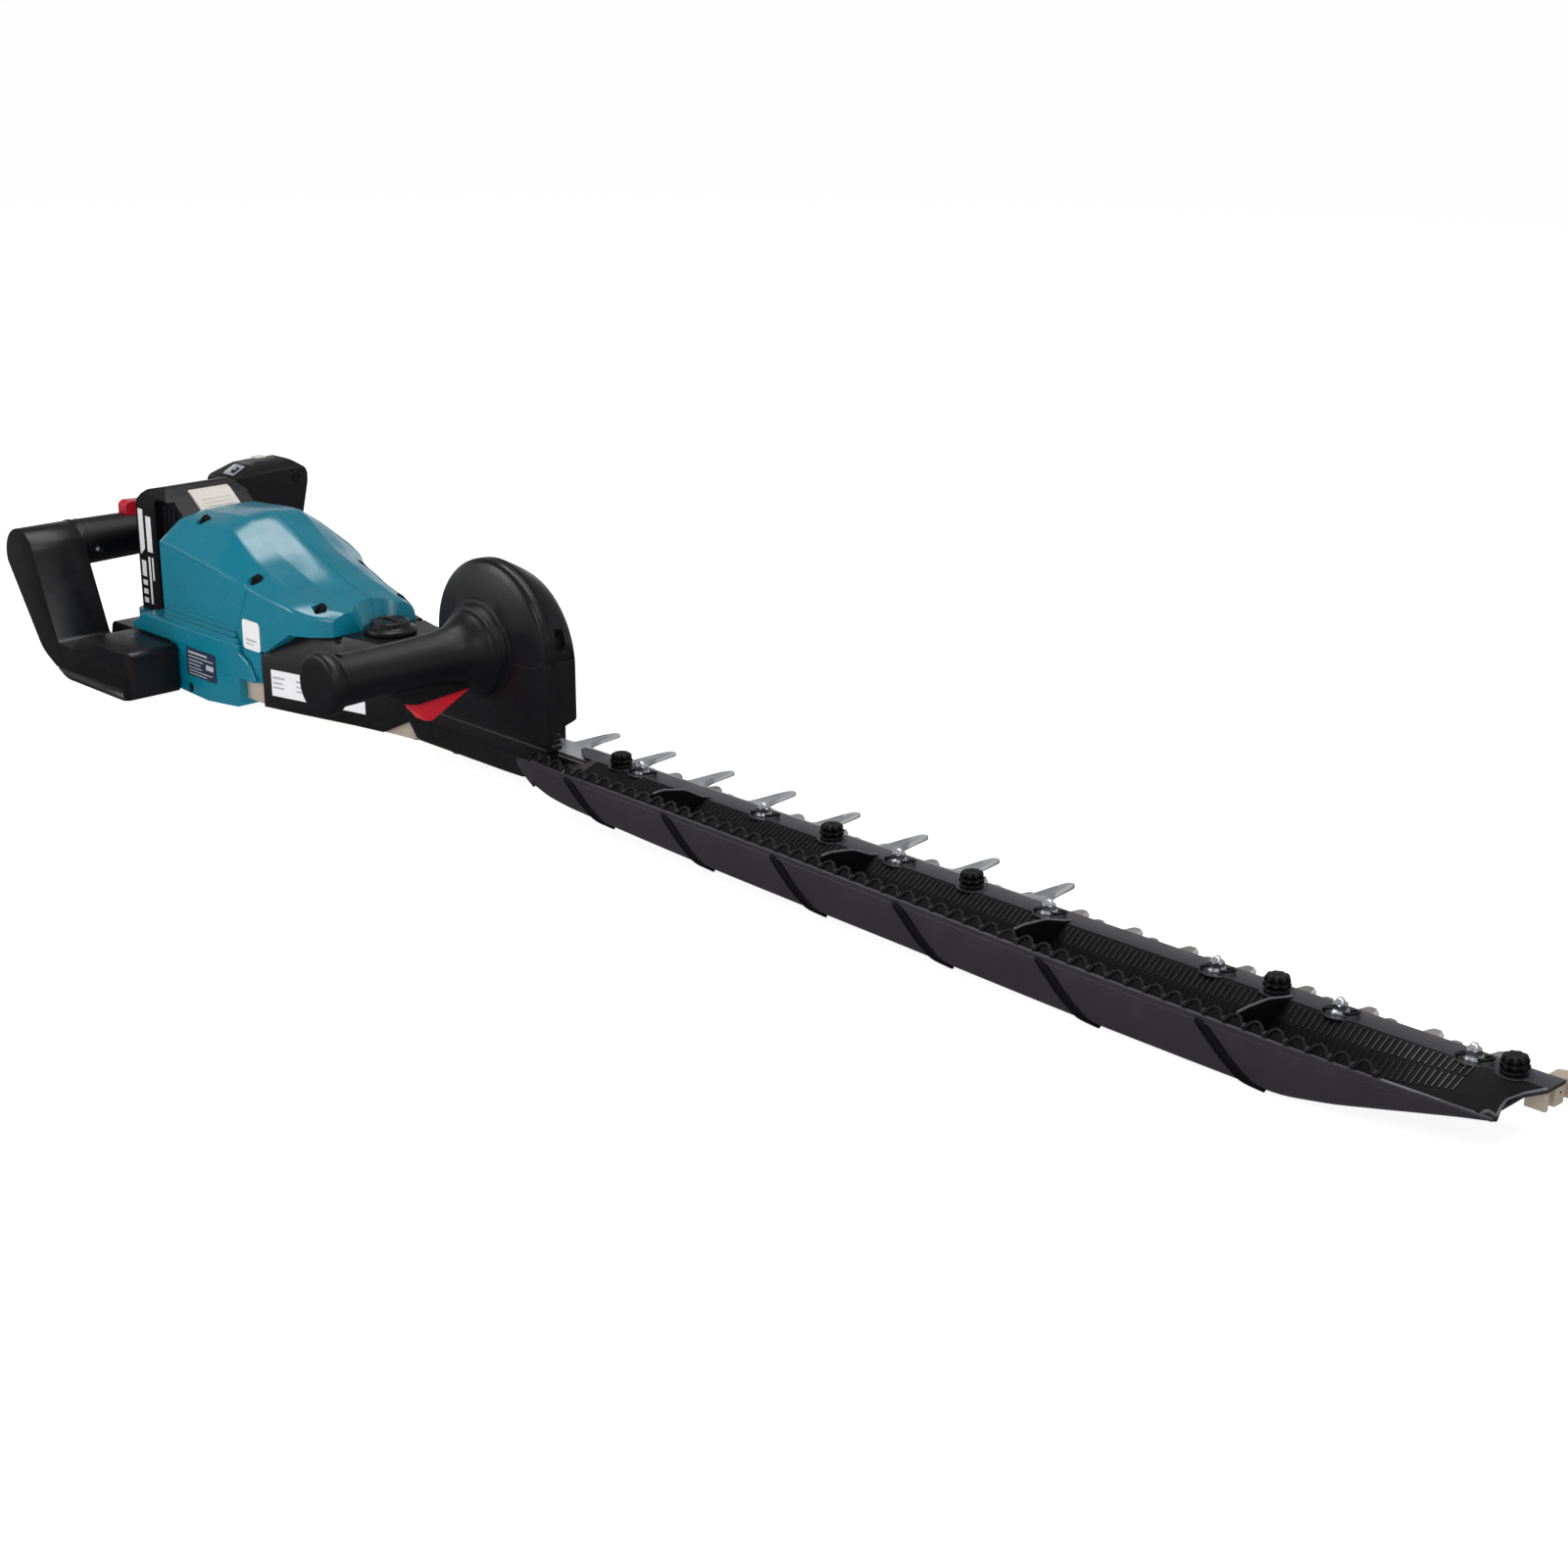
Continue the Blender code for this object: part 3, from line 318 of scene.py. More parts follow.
def arc(corner, before, after, radius, parts):
    """parts + 1 points of the round that replaces one corner."""
    u, v = corner
    if radius <= 0:
        return [(u, v)] * (parts + 1) if parts else [(u, v)]
    a = (before[0] - u, before[1] - v)
    b = (after[0] - u, after[1] - v)
    la = math.hypot(*a)
    lb = math.hypot(*b)
    a = (a[0] / la, a[1] / la)
    b = (b[0] / lb, b[1] / lb)
    half = 0.5 * math.acos(max(-0.9999999, min(1.0, a[0] * b[0] + a[1] * b[1])))
    back = min(radius / math.tan(half), 0.49 * la, 0.49 * lb)
    r = back * math.tan(half)
    mid = (a[0] + b[0], a[1] + b[1])
    lm = math.hypot(*mid)
    centre = (u + mid[0] / lm * r / math.sin(half), v + mid[1] / lm * r / math.sin(half))
    start = math.atan2(v + a[1] * back - centre[1], u + a[0] * back - centre[0])
    end = math.atan2(v + b[1] * back - centre[1], u + b[0] * back - centre[0])
    sweep = (end - start + math.pi) % (2 * math.pi) - math.pi
    turns = [start + sweep * k / parts for k in range(parts + 1)]
    return [(centre[0] + r * math.cos(t), centre[1] + r * math.sin(t)) for t in turns]


def fine(corners, parts=6):
    """Round each (u, v, radius) corner of a closed outline."""
    outline = []
    for i, (u, v, radius) in enumerate(corners):
        if radius <= 0:
            outline.append((u, v))
            continue
        before = corners[i - 1][:2]
        after = corners[(i + 1) % len(corners)][:2]
        outline += arc((u, v), before, after, radius, parts)
    return outline


def rounded(u0, v0, u1, v1, radius):
    """A rectangle with its four corners rounded alike."""
    return fine([(u0, v0, radius), (u1, v0, radius), (u1, v1, radius), (u0, v1, radius)])


def mirrored(half):
    """An outline from its half at negative v and the same half turned over."""
    return half + [(u, -v, *radius) for u, v, *radius in reversed(half)]


def soften(obj, width, segments=3, angle=38.0):
    """Rounded edges that leave the flats flat."""
    step = obj.modifiers.new("Edges", "BEVEL")
    step.width = width * MM
    step.segments = segments
    step.limit_method = "ANGLE"
    step.angle_limit = math.radians(angle)
    step.harden_normals = True
    return obj


def applied(obj):
    """Bake an object's modifiers into its mesh."""
    depsgraph = bpy.context.evaluated_depsgraph_get()
    mesh = bpy.data.meshes.new_from_object(obj.evaluated_get(depsgraph))
    obj.modifiers.clear()
    obj.data = mesh
    return obj


def gathered(name, parts):
    """Join several objects into one mesh object, keeping each one's material."""
    looks = []
    shape = bmesh.new()
    for part in parts:
        applied(part)
        start = len(shape.faces)
        shape.from_mesh(part.data)
        shape.faces.ensure_lookup_table()
        slots = []
        for look in part.data.materials:
            if look not in looks:
                looks.append(look)
            slots.append(looks.index(look))
        for face in shape.faces[start:]:
            face.material_index = slots[min(face.material_index, len(slots) - 1)]
        bpy.data.objects.remove(part, do_unlink=True)
    mesh = bpy.data.meshes.new(name)
    shape.to_mesh(mesh)
    shape.free()
    for look in looks:
        mesh.materials.append(look)
    whole = bpy.data.objects.new(name, mesh)
    bpy.context.collection.objects.link(whole)
    return whole


def combine(obj, tools, operation):
    """Cut, join or intersect an object with all its tools at once."""
    whole = gathered("cutter", list(tools))
    step = obj.modifiers.new("Combine", "BOOLEAN")
    step.operation = operation
    step.solver = "EXACT"
    step.use_self = len(tools) > 1
    step.object = whole
    applied(obj)
    obj.data.shade_smooth()
    obj.data.set_sharp_from_angle(angle=math.radians(35))
    bpy.data.objects.remove(whole, do_unlink=True)
    return obj


def cut(obj, *tools):
    return combine(obj, tools, "DIFFERENCE")


def join(obj, *tools):
    return combine(obj, tools, "UNION")


def keep_side(obj, axis, limit, above):
    """Keep one side of a plane through a closed object."""
    shape = bmesh.new()
    shape.from_mesh(obj.data)
    place = [0.0, 0.0, 0.0]
    normal = [0.0, 0.0, 0.0]
    place[axis] = (limit + ORIGIN[axis]) * MM
    normal[axis] = -1.0 if above else 1.0
    everything = list(shape.verts) + list(shape.edges) + list(shape.faces)
    made = bmesh.ops.bisect_plane(shape, geom=everything, plane_co=place, plane_no=normal, clear_outer=True,
                                  dist=1e-7)
    rim = [e for e in made["geom_cut"] if isinstance(e, bmesh.types.BMEdge)]
    bmesh.ops.holes_fill(shape, edges=rim, sides=0)
    bmesh.ops.recalc_face_normals(shape, faces=shape.faces)
    shape.to_mesh(obj.data)
    shape.free()
    obj.data.shade_smooth()
    obj.data.set_sharp_from_angle(angle=math.radians(35))
    return obj


def copy_of(obj, name):
    twin = obj.copy()
    twin.data = obj.data.copy()
    twin.name = name
    bpy.context.collection.objects.link(twin)
    return twin


def pit(x, y, z, axis, depth, radius, segments=32):
    """A round tool that reaches equally far both ways along an axis."""
    profile = [(0, -depth), (radius, -depth), (radius, depth), (0, depth)]
    return turned("tool", profile, (x, y, z), axis, "satin_black", segments)


def post(x, y, low, high, radius, look="satin_black", segments=24):
    """An upright round bar or tool."""
    profile = [(0, low), (radius, low), (radius, high), (0, high)]
    return turned("tool", profile, (x, y, 0), "Z", look, segments)


def tube(name, points, radius, look, sides=8, closed=False):
    """A round bar along a path."""
    rings = []
    path = [Vector(p) for p in points]
    count = len(path)
    for i, here in enumerate(path):
        ahead = path[(i + 1) % count] if closed or i + 1 < count else here
        behind = path[i - 1] if closed or i else here
        along = (ahead - behind).normalized()
        side = along.cross(Vector((0.13, 0.21, 0.97))).normalized()
        up = side.cross(along).normalized()
        ring = []
        for k in range(sides):
            turn = 2 * math.pi * k / sides
            ring.append(tuple(here + radius * (math.cos(turn) * side + math.sin(turn) * up)))
        rings.append(ring)
    return loft(name, rings, look, 60.0, closed)


def smooth_between(xs, table):
    """Monotone cubic interpolation of each column of a table of rows (x, values...)."""
    rows = [list(map(float, row)) for row in table]
    knots = [row[0] for row in rows]
    columns = len(rows[0]) - 1
    slopes = []
    for c in range(1, columns + 1):
        steps = [(rows[i + 1][c] - rows[i][c]) / (knots[i + 1] - knots[i]) for i in range(len(rows) - 1)]
        line = [steps[0]]
        for i in range(1, len(steps)):
            a, b = steps[i - 1], steps[i]
            line.append(0.0 if a * b <= 0 else 2 * a * b / (a + b))
        slopes.append(line + [steps[-1]])
    found = []
    for x in xs:
        i = max(0, min(len(knots) - 2, sum(1 for k in knots if k <= x) - 1))
        h = knots[i + 1] - knots[i]
        t = (x - knots[i]) / h
        values = []
        for c in range(columns):
            p0, p1 = rows[i][c + 1], rows[i + 1][c + 1]
            m0, m1 = slopes[c][i] * h, slopes[c][i + 1] * h
            values.append((2 * t**3 - 3 * t**2 + 1) * p0 + (t**3 - 2 * t**2 + t) * m0
                          + (-2 * t**3 + 3 * t**2) * p1 + (t**3 - t**2) * m1)
        found.append(values)
    return found


def between(low, high, step):
    """Evenly spaced values from low to high, about a step apart."""
    count = max(1, round((high - low) / step))
    return [low + (high - low) * i / count for i in range(count + 1)]


def piece(made, name, body, *nodes):
    """Name a finished piece, let it ride on its body and hide the CAD nodes it stands for."""
    obj = gathered(name, made) if isinstance(made, list) else made
    obj.name = name
    obj.data.name = name
    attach(obj, body)
    if nodes:
        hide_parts(*nodes)


# ---------------------------------------------------------------- chip receiver

PITCH = 38.0
BOLTS = [middle(f"blade_bolt_{i}", 0) for i in range(1, 8)]
KNOBS = [middle(f"receiver_knob_{i}", 0) for i in range(1, 6)]
STRIP_FAR = tool_box("chip_receiver")[1][1]
STRIP_NEAR = -5.0
STRIP = 2.0
# (x, rim y, rim z, lowest z) of the trough's section from its foot to its tip
TROUGH = [
    (-44.0, -56.0, 10.8, -9.5),
    (-24.0, -59.5, 12.0, -12.0),
    (0.0, -61.0, 12.0, -13.5),
    (120.0, -61.0, 11.0, -18.5),
    (280.0, -61.0, 8.0, -22.5),
    (420.0, -61.0, 5.0, -26.0),
    (530.0, -61.0, 3.5, -27.0),
    (558.0, -60.0, 3.0, -23.5),
    (586.0, -58.5, 2.4, -17.5),
    (612.0, -57.0, 1.8, -11.5),
    (634.0, -55.5, 1.0, -7.0),
    (651.0, -53.0, 0.0, -4.6),
]
FIN_X = [66.0, 212.0, 358.0, 504.0]
RIB_X = [-5.0, 87.0, 182.0, 280.0, 383.0, 487.0]
RIB_LEAN = 36.0
RIB_HALF = 4.5
BAND_PITCH = 3.7
BAND_ENDS = (8.0, 613.0)
HOOK_PITCH = 12.2
HOOK_END = 584.0
SECTION_STEP = 5.0


def trough_at(x):
    """Rim y, rim z and lowest z of the trough at one station."""
    return smooth_between([x], TROUGH)[0]


def wall_lines(rim_y, rim_z, low_z):
    """Inside and outside corner points (y, z, radius) of the trough's section."""
    t = STRIP
    width = STRIP_NEAR - rim_y
    depth = -low_z
    inner = [
        (STRIP_FAR, 0.0, 0.4),
        (STRIP_NEAR, 0.0, 1.0),
        (STRIP_NEAR - 0.20 * width, -0.30 * (depth - t) - 0.4, 5.0),
        (STRIP_NEAR - 0.42 * width, -0.80 * (depth - t), 5.0),
        (STRIP_NEAR - 0.60 * width, t - depth, 4.0),
        (STRIP_NEAR - 0.82 * width, t - depth + 1.0, 4.0),
        (rim_y + t + 1.6, t - depth + 4.5 + 0.1 * depth, 4.0),
        (rim_y + t, rim_z, 0.7),
    ]
    outer = [
        (rim_y, rim_z, 0.7),
        (rim_y + 0.2, 0.45 * (rim_z - low_z) + low_z, 30.0),
        (rim_y + 2.8, low_z + 2.2 + 0.08 * depth, 7.0),
        (rim_y + 8.5, low_z, 5.0),
        (STRIP_NEAR - 0.58 * width, low_z, 4.0),
        (STRIP_NEAR - 0.40 * width, -0.80 * (depth - t) - t, 5.0),
        (STRIP_NEAR - 0.20 * width - 0.4, -0.30 * (depth - t) - t - 0.4, 5.0),
        (STRIP_NEAR - 0.6, -t, 1.0),
        (STRIP_FAR, -t, 0.4),
    ]
    return inner, outer


END_FROM = 606.0
END_WIDE = 47.5
# (share of the width from the strip to the rim, how far the end is drawn back)
END_CURVE = [(0.0, 0.0), (0.14, 4.0), (0.32, 9.5), (0.52, 9.0), (0.72, 4.5), (0.84, 3.4), (0.93, 5.0),
             (1.0, 10.0)]


def end_pull(x, y):
    """How far the curved end of the trough is drawn back from a square cut."""
    along = max(0.0, (x - END_FROM) / (TROUGH[-1][0] - END_FROM))
    across = max(0.0, min(1.0, (STRIP_NEAR - y) / END_WIDE))
    return along ** 2 * smooth_between([across], END_CURVE)[0][0]


def trough_shell():
    """The trough's wall, with its curved end."""
    rings = []
    for x in between(TROUGH[0][0], TROUGH[-1][0], SECTION_STEP):
        inner, outer = wall_lines(*trough_at(x))
        rings.append([(x - end_pull(x, y), y, z) for y, z in fine(inner + outer, 3)])
    return loft("shell", rings, "trough_grey_and_sheen", 40.0)


def pale_highlight_lips():
    """Pale lips along the curved end and along the last of the rim; their pale grey is painted highlight."""
    x = TROUGH[-1][0] - 0.7
    line = arc_line(wall_lines(*trough_at(x))[0][1:])
    end = [(x - end_pull(x, y), y, z + 0.1) for y, z in line]
    rim = []
    for along in between(END_FROM - 12.0, x, SECTION_STEP):
        rim_y, rim_z = trough_at(along)[:2]
        rim.append((along - end_pull(along, rim_y), rim_y + 1.0, rim_z - 0.1))
    return [tube("lip", end, 0.75, "highlight_grey", 10), tube("lip", rim, 1.1, "highlight_grey", 10)]


def painted_shade_lining():
    """A very dark sheet over the sloping inside of the trough: painted shade."""
    rings = []
    for x in between(-38.0, TROUGH[-1][0] - 1.0, 6.0):
        line = arc_line(wall_lines(*trough_at(x))[0][1:])
        rings.append([(x - end_pull(x, y), y, z + 0.3) for y, z in line]
                     + [(x - end_pull(x, y), y, z - 0.25) for y, z in reversed(line)])
    return loft("painted_shade_lining", rings, "shade_seam_and_screw_black", 60.0)


def outside_point(x, share, proud):
    """A point on the outer wall, from the rim (0) to the floor (1), standing proud of it."""
    rim_y, rim_z, low_z = trough_at(x)
    corners = wall_lines(rim_y, rim_z, low_z)[1][:4]
    line = arc_line(corners)
    total = sum(math.dist(a, b) for a, b in zip(line, line[1:]))
    left = share * total
    for a, b in zip(line, line[1:]):
        step = math.dist(a, b)
        if left <= step or b is line[-1]:
            f = left / step
            ny, nz = (b[1] - a[1]) / step, -(b[0] - a[0]) / step
            if ny > 0:
                ny, nz = -ny, -nz
            return (x, a[0] + f * (b[0] - a[0]) + ny * proud, a[1] + f * (b[1] - a[1]) + nz * proud)
        left -= step
    return (x, line[-1][0], line[-1][1])


def arc_line(corners):
    """An open line through (y, z, radius) corners, each one rounded."""
    line = [corners[0][:2]]
    for before, here, after in zip(corners, corners[1:], corners[2:]):
        line += arc(here[:2], before[:2], after[:2], here[2], 5)
    return line + [corners[-1][:2]]


def leaning_rib(x):
    """A raised band that crosses the outer wall at a slant and wraps under it, near-black for painted shade
    at the step between the trough's sections.
    """
    rings = []
    steps = 20
    for k in range(steps + 1):
        share = k / steps
        along = x + 3.0 + RIB_LEAN * share
        half = RIB_HALF * min(1.0, math.sqrt(max(0.06, 1.0 - (2 * share - 1) ** 10)))
        ring = []
        for offset, proud in ((-1.0, -0.6), (-0.96, 0.7), (-0.7, 1.5), (0.7, 1.5), (0.96, 0.7), (1.0, -0.6)):
            ring.append(outside_point(along + offset * half, 0.05 + 0.95 * share, proud))
        rings.append(ring)
    # the band's near-black colour is painted shade
    return loft("rib", rings, "shade_seam_and_screw_black", 60.0)


def band_ribs(first, second, low, high, height):
    """Fine cross ribs on the inside of the trough between two of its section corners."""
    verts = []
    faces = []
    for x in between(*BAND_ENDS, BAND_PITCH):
        if any(abs(x - fin) < 0.7 * BAND_PITCH for fin in FIN_X):
            continue
        inner = wall_lines(*trough_at(x))[0]
        a, b = inner[first], inner[second]
        ay, az = a[0] + low * (b[0] - a[0]), a[1] + low * (b[1] - a[1])
        by, bz = a[0] + high * (b[0] - a[0]), a[1] + high * (b[1] - a[1])
        base = len(verts)
        for y, z in ((ay, az), (by, bz)):
            for dx, dz in ((-0.9, -0.6), (0.9, -0.6), (0.35, height), (-0.35, height)):
                verts.append((x + dx, y, z + dz))
        faces += [tuple(base + i for i in quad) for quad in BOX_FACES]
    return raw("bands", verts, faces, "satin_black", 30.0)


def cross_fin(x):
    """A thin curved wall across the trough, from its rim to the blade strip, near-black for painted shade,
    with a pale bead on its crest for a painted highlight.
    """
    rim_y, rim_z, low_z = trough_at(x)
    inner = wall_lines(rim_y, rim_z, low_z)[0]
    top = [(rim_y + 1.4, rim_z - 0.6, 0), (rim_y + 8, rim_z + 1.6, 6), (-40, rim_z + 2.2, 24),
           (-22, 0.6 * rim_z + 3.0, 24), (-8, 2.2, 6), (-1.0, 0.5, 0), (-1.0, -0.6, 0)]
    under = [(y, z - 0.8, 0) for y, z, _ in inner[1:7]]
    line = fine(top + under, 6)
    # near-black wall: painted shade beside the fin
    wall = soften(prism("fin", line, "X", x - 0.8, x + 0.8, "shade_seam_and_screw_black"), 0.3, 2)
    # pale bead along the crest: painted highlight on the fin's top edge
    crest = [(x, y, z) for y, z in fine(top[1:6], 8)]
    return gathered("fin", [wall, tube("bead", crest, 0.8, "highlight_grey", 10)])


def rim_hook(x):
    """One open loop on the rim, with a near-black plate under it for painted shade in its hole, and the bead
    that ends it.
    """
    rim_y, rim_z = trough_at(x)[:2]
    line = [(-5.6, 1.2, -1.0), (-5.1, 1.9, 1.8), (-3.4, 3.2, 4.4), (-0.8, 4.2, 5.6), (1.8, 3.9, 5.2),
            (3.8, 2.8, 3.2), (4.9, 1.5, -0.6)]
    loop = tube("loop", [(x + dx, rim_y + dy, rim_z + dz) for dx, dy, dz in line], 0.9, "rubber_black", 8)
    bead = turned("bead", [(0, -1.9), (1.0, -1.5), (1.7, -0.4), (1.7, 0.6), (1.0, 1.6), (0, 1.9)],
                  (x + 6.1, rim_y + 1.9, rim_z + 1.9), "Z", "satin_black", 12)
    # near-black plate in the hook's hole: painted shade
    corners = [(-4.4, 1.3, -0.8), (4.3, 1.3, -0.8), (2.4, 3.2, 3.8), (-2.6, 3.2, 3.8)]
    back = [(dx, dy + 1.0, dz) for dx, dy, dz in corners]
    web = raw("web", [(x + dx, rim_y + dy, rim_z + dz) for dx, dy, dz in corners + back],
              BOX_FACES, "shade_seam_and_screw_black")
    return [loop, bead, web]


def rim_line(drop, out, radius, start, end):
    """A thin bead that follows the rim."""
    points = []
    for x in between(start, end, 9.0):
        rim_y, rim_z = trough_at(x)[:2]
        points.append((x, rim_y + out, rim_z - drop))
    return tube("bead", points, radius, "trough_grey_and_sheen", 8)


def receiver_group():
    """The chip-collecting trough as one piece."""
    parts = [trough_shell(), painted_shade_lining()] + pale_highlight_lips()
    parts += [leaning_rib(x) for x in RIB_X]
    parts += [cross_fin(x) for x in FIN_X]
    parts += [band_ribs(1, 2, 0.16, 0.94, 1.0), band_ribs(2, 3, 0.10, 0.90, 1.0),
              band_ribs(6, 7, 0.10, 0.80, 0.9)]
    for x in between(TROUGH[0][0] + 4.0, HOOK_END, HOOK_PITCH):
        parts += rim_hook(x)
    parts += [rim_line(0.2, 0.9, 1.1, -43.0, 650.0), rim_line(3.0, 0.15, 0.45, -40.0, 600.0)]
    tongue = [(-76, STRIP_FAR - 0.2, 3), (-40, STRIP_FAR - 0.2, 0), (-40, -4.5, 0), (-52, -4.5, 2)]
    parts.append(soften(prism("tongue", fine(tongue), "Z", -STRIP, -0.05, "trough_grey_and_sheen"), 0.4))
    cheek = [[(-70, -47, 5), (-70, -46, 5), (-70, -46, 1), (-70, -47, 1)],
             [(-58, -51.5, 8), (-58, -50, 8), (-58, -49, -3), (-58, -51, -3)],
             [(-43, -56, 10.5), (-43, -54.5, 10.5), (-43, -53, -7), (-43, -55, -7)]]
    parts.append(soften(loft("cheek", cheek, "trough_grey_and_sheen"), 0.4))
    for x in BOLTS + KNOBS:
        pad = [(0, -0.1), (9.6, -0.1), (9.2, 0.25), (0, 0.25)]
        parts.append(turned("pad", pad, (x, 0.6, 0), "Z", "trough_grey_and_sheen", 40))
    piece(parts, "chip_trough", "frame", "chip_receiver")


# ---------------------------------------------------------------- blades and fixings

BLADE_THICK = 2.2
BLADE_END = 622.0
TOOTH_TIP = 34.0
TEETH = 18
FIRST_TOOTH_UPPER = -40.0
FIRST_TOOTH_LOWER = -28.0
FINGERS = 8
FINGER_FIRST = -81.0
FINGER_PITCH = 1.5 * PITCH
BLADE_NEAR = -7.0
BLADE_FAR = 15.0
LOOP_X = -264.0
LOOP_HALF = 20.5
SPRING_STEPS = 28
SLOT_HALF = 2.9
THROW = 9.5
DRIVE_R = 10.0
STROKE_BACK = 4.0
STROKE_AHEAD = 15.0


def ground_tooth(x, top, near, tip):
    """One tooth with ground facets on both flanks."""
    low = top - BLADE_THICK
    rings = []
    for y, half in ((near, 9.0), (tip - 1.6, 4.6), (tip, 3.4)):
        bevel = 1.7 if y > near else 1.4
        rings.append([(x - half, y, low), (x + half, y, low), (x + half, y, low + 0.5),
                      (x + half - bevel, y, top), (x - half + bevel, y, top), (x - half, y, low + 0.5)])
    return loft("tooth", rings, "blade_steel", 20.0)


def blade(name, first_tooth, back, ahead):
    """A toothed strip with a drive loop round the crank and a slot at each bolt."""
    top = tool_box(name)[1][2]
    near, far = BLADE_NEAR, BLADE_FAR
    sweep = THROW + DRIVE_R
    front = LOOP_X + sweep + back + 1.0
    rear = LOOP_X - sweep - ahead - 1.0
    half = LOOP_HALF + 5.0
    outline = [(rear - 5, -half, 3), (front + 5, -half, 6), (front + 5, near, 4), (BLADE_END, near, 2),
               (BLADE_END, far, 2), (front + 5, far, 4), (front + 5, half, 6), (rear - 5, half, 3)]
    strip = prism("strip", fine(outline), "Z", top - BLADE_THICK, top, "blade_steel")
    tools = [tool(rounded(rear, -LOOP_HALF, front, LOOP_HALF, 2), "Z", top - 5, top + 5)]
    for x in BOLTS + KNOBS[:-1]:
        slot = rounded(x - ahead - 2.7, -SLOT_HALF, x + back + 2.7, SLOT_HALF, 2.8)
        tools.append(tool(slot, "Z", top - 5, top + 5))
    cut(strip, *tools)
    teeth = [ground_tooth(first_tooth + PITCH * k, top, far - 1.5, TOOTH_TIP) for k in range(TEETH)
             if first_tooth + PITCH * k + 9 < BLADE_END]
    piece([soften(strip, 0.25, 2)] + teeth, name + "_shown", name, name)


def finger(x):
    """One long pointed finger, hollowed along its middle like a pressed blade."""
    rings = []
    rows = ((14, 13.5, 0.2), (17, 11.0, 1.0), (20, 8.2, 1.6), (24, 6.4, 1.9), (30, 5.2, 2.0), (36, 4.4, 2.0),
            (41, 3.8, 1.9), (45, 3.3, 1.7), (48, 2.6, 1.4), (49.4, 1.7, 1.0), (50, 0.8, 0.5))
    low = -3.8
    for y, half, rise in rows:
        foot = low + 0.9
        crest = low + 1.2 + rise
        rings.append([(x - half, y, low), (x + half, y, low), (x + half, y, foot), (x + 0.7 * half, y, crest),
                      (x - 0.5 * half, y, crest), (x - half, y, foot)])
    made = loft("finger", rings, "zinc_plate", 30.0)
    groove = [(x - 3.2, 18.0, 1.4), (x + 3.0, 18.0, 1.4), (x + 1.0, 39.0, 0.8), (x - 1.0, 39.0, 0.8)]
    return cut(made, tool(fine(groove), "Z", low + 2.3, low + 6.0))


def comb():
    """The plate of long guard fingers."""
    low, high = tool_box("finger_comb")
    corners = [(low[0], -4, 2), (high[0], -4, 2), (high[0], 17, 3), (low[0], 17, 3)]
    plate = prism("plate", fine(corners), "Z", low[2], high[2], "zinc_plate")
    holes = [post(x, 0, -8, 4, 2.6) for x in BOLTS + KNOBS if x < high[0]]
    cut(plate, post(-94, 8, -8, 4, 2.7), *holes)
    parts = [soften(plate, 0.3, 2)] + [finger(FINGER_FIRST + FINGER_PITCH * k) for k in range(FINGERS)]
    piece(parts, "finger_comb_shown", "frame", "finger_comb")


def hex_outline(x, y, across, turn):
    """A hexagon of a given width across its flats."""
    r = across / math.sqrt(3.0)
    angles = [math.radians(turn + 60 * k) for k in range(6)]
    return [(x + r * math.cos(angle), y + r * math.sin(angle)) for angle in angles]


def hex_nut(x, y, low, high, across, look, turn):
    """A hexagon nut with its corners turned off at both ends."""
    nut = prism("nut", hex_outline(x, y, across, turn), "Z", low, high, look, 20.0)
    r = across / math.sqrt(3.0)
    cone = [(0, low - 0.01), (r * 0.88, low - 0.01), (r * 1.01, low + 0.7), (r * 1.01, high - 0.7),
            (r * 0.88, high + 0.01), (0, high + 0.01)]
    mask = turned("mask", cone, (x, y, 0), "Z", look, 48, sharp=20.0)
    return combine(nut, [mask], "INTERSECT")


def thread(x, y, low, high, radius, look):
    """A stud end with thread rings and a rounded tip."""
    profile = [(0, low)]
    z = low
    while z < high - 1.0:
        profile += [(radius, z + 0.1), (radius - 0.32, z + 0.4)]
        z += 0.6
    profile += [(radius - 0.2, high - 0.8), (radius - 0.9, high), (0, high)]
    return turned("thread", profile, (x, y, 0), "Z", look, 24, sharp=60.0)


def blade_fixing(index, x):
    """Washer, hexagon nut, stud, underside head and the black spring loop beside it."""
    turn = 12.0 + 17.0 * index
    rounds = [("seat", 48, [(0, 0.3), (5.2, 0.3), (5.3, 0.5), (5.2, 1.1), (0, 1.1)]),
              ("washer", 48, [(0, 1.1), (4.9, 1.1), (5.0, 1.4), (4.8, 2.0), (0, 2.0)]),
              ("shank", 24, [(0, -13.2), (2.3, -13.2), (2.3, 2.0), (0, 2.0)]),
              ("head", 40, [(0, -15.4), (2.2, -15.4), (4.0, -14.9), (4.6, -13.6), (4.6, -12.9), (0, -12.9)])]
    parts = [turned(name, profile, (x, 0, 0), "Z", "zinc_plate", count) for name, count, profile in rounds]
    parts.insert(2, hex_nut(x, 0, 2.0, 5.6, 7.4, "zinc_plate", turn))
    parts.append(thread(x, 0, 5.2, 8.2, 2.3, "zinc_plate"))
    for dx, dy, wide, deep in ((6.0, 1.6, 3.4, 4.6), (-5.6, -1.0, 2.4, 3.6)):
        line = []
        for k in range(SPRING_STEPS):
            angle = 2 * math.pi * k / SPRING_STEPS
            rise = 1.5 + 0.9 * math.cos(angle + 0.6)
            line.append((x + dx + wide * math.cos(angle), dy + deep * math.sin(angle), rise))
        parts.append(tube("spring", line, 0.85, "rubber_black", 8, True))
    piece(parts, f"blade_fixing_{index}", "frame", f"blade_bolt_{index}")


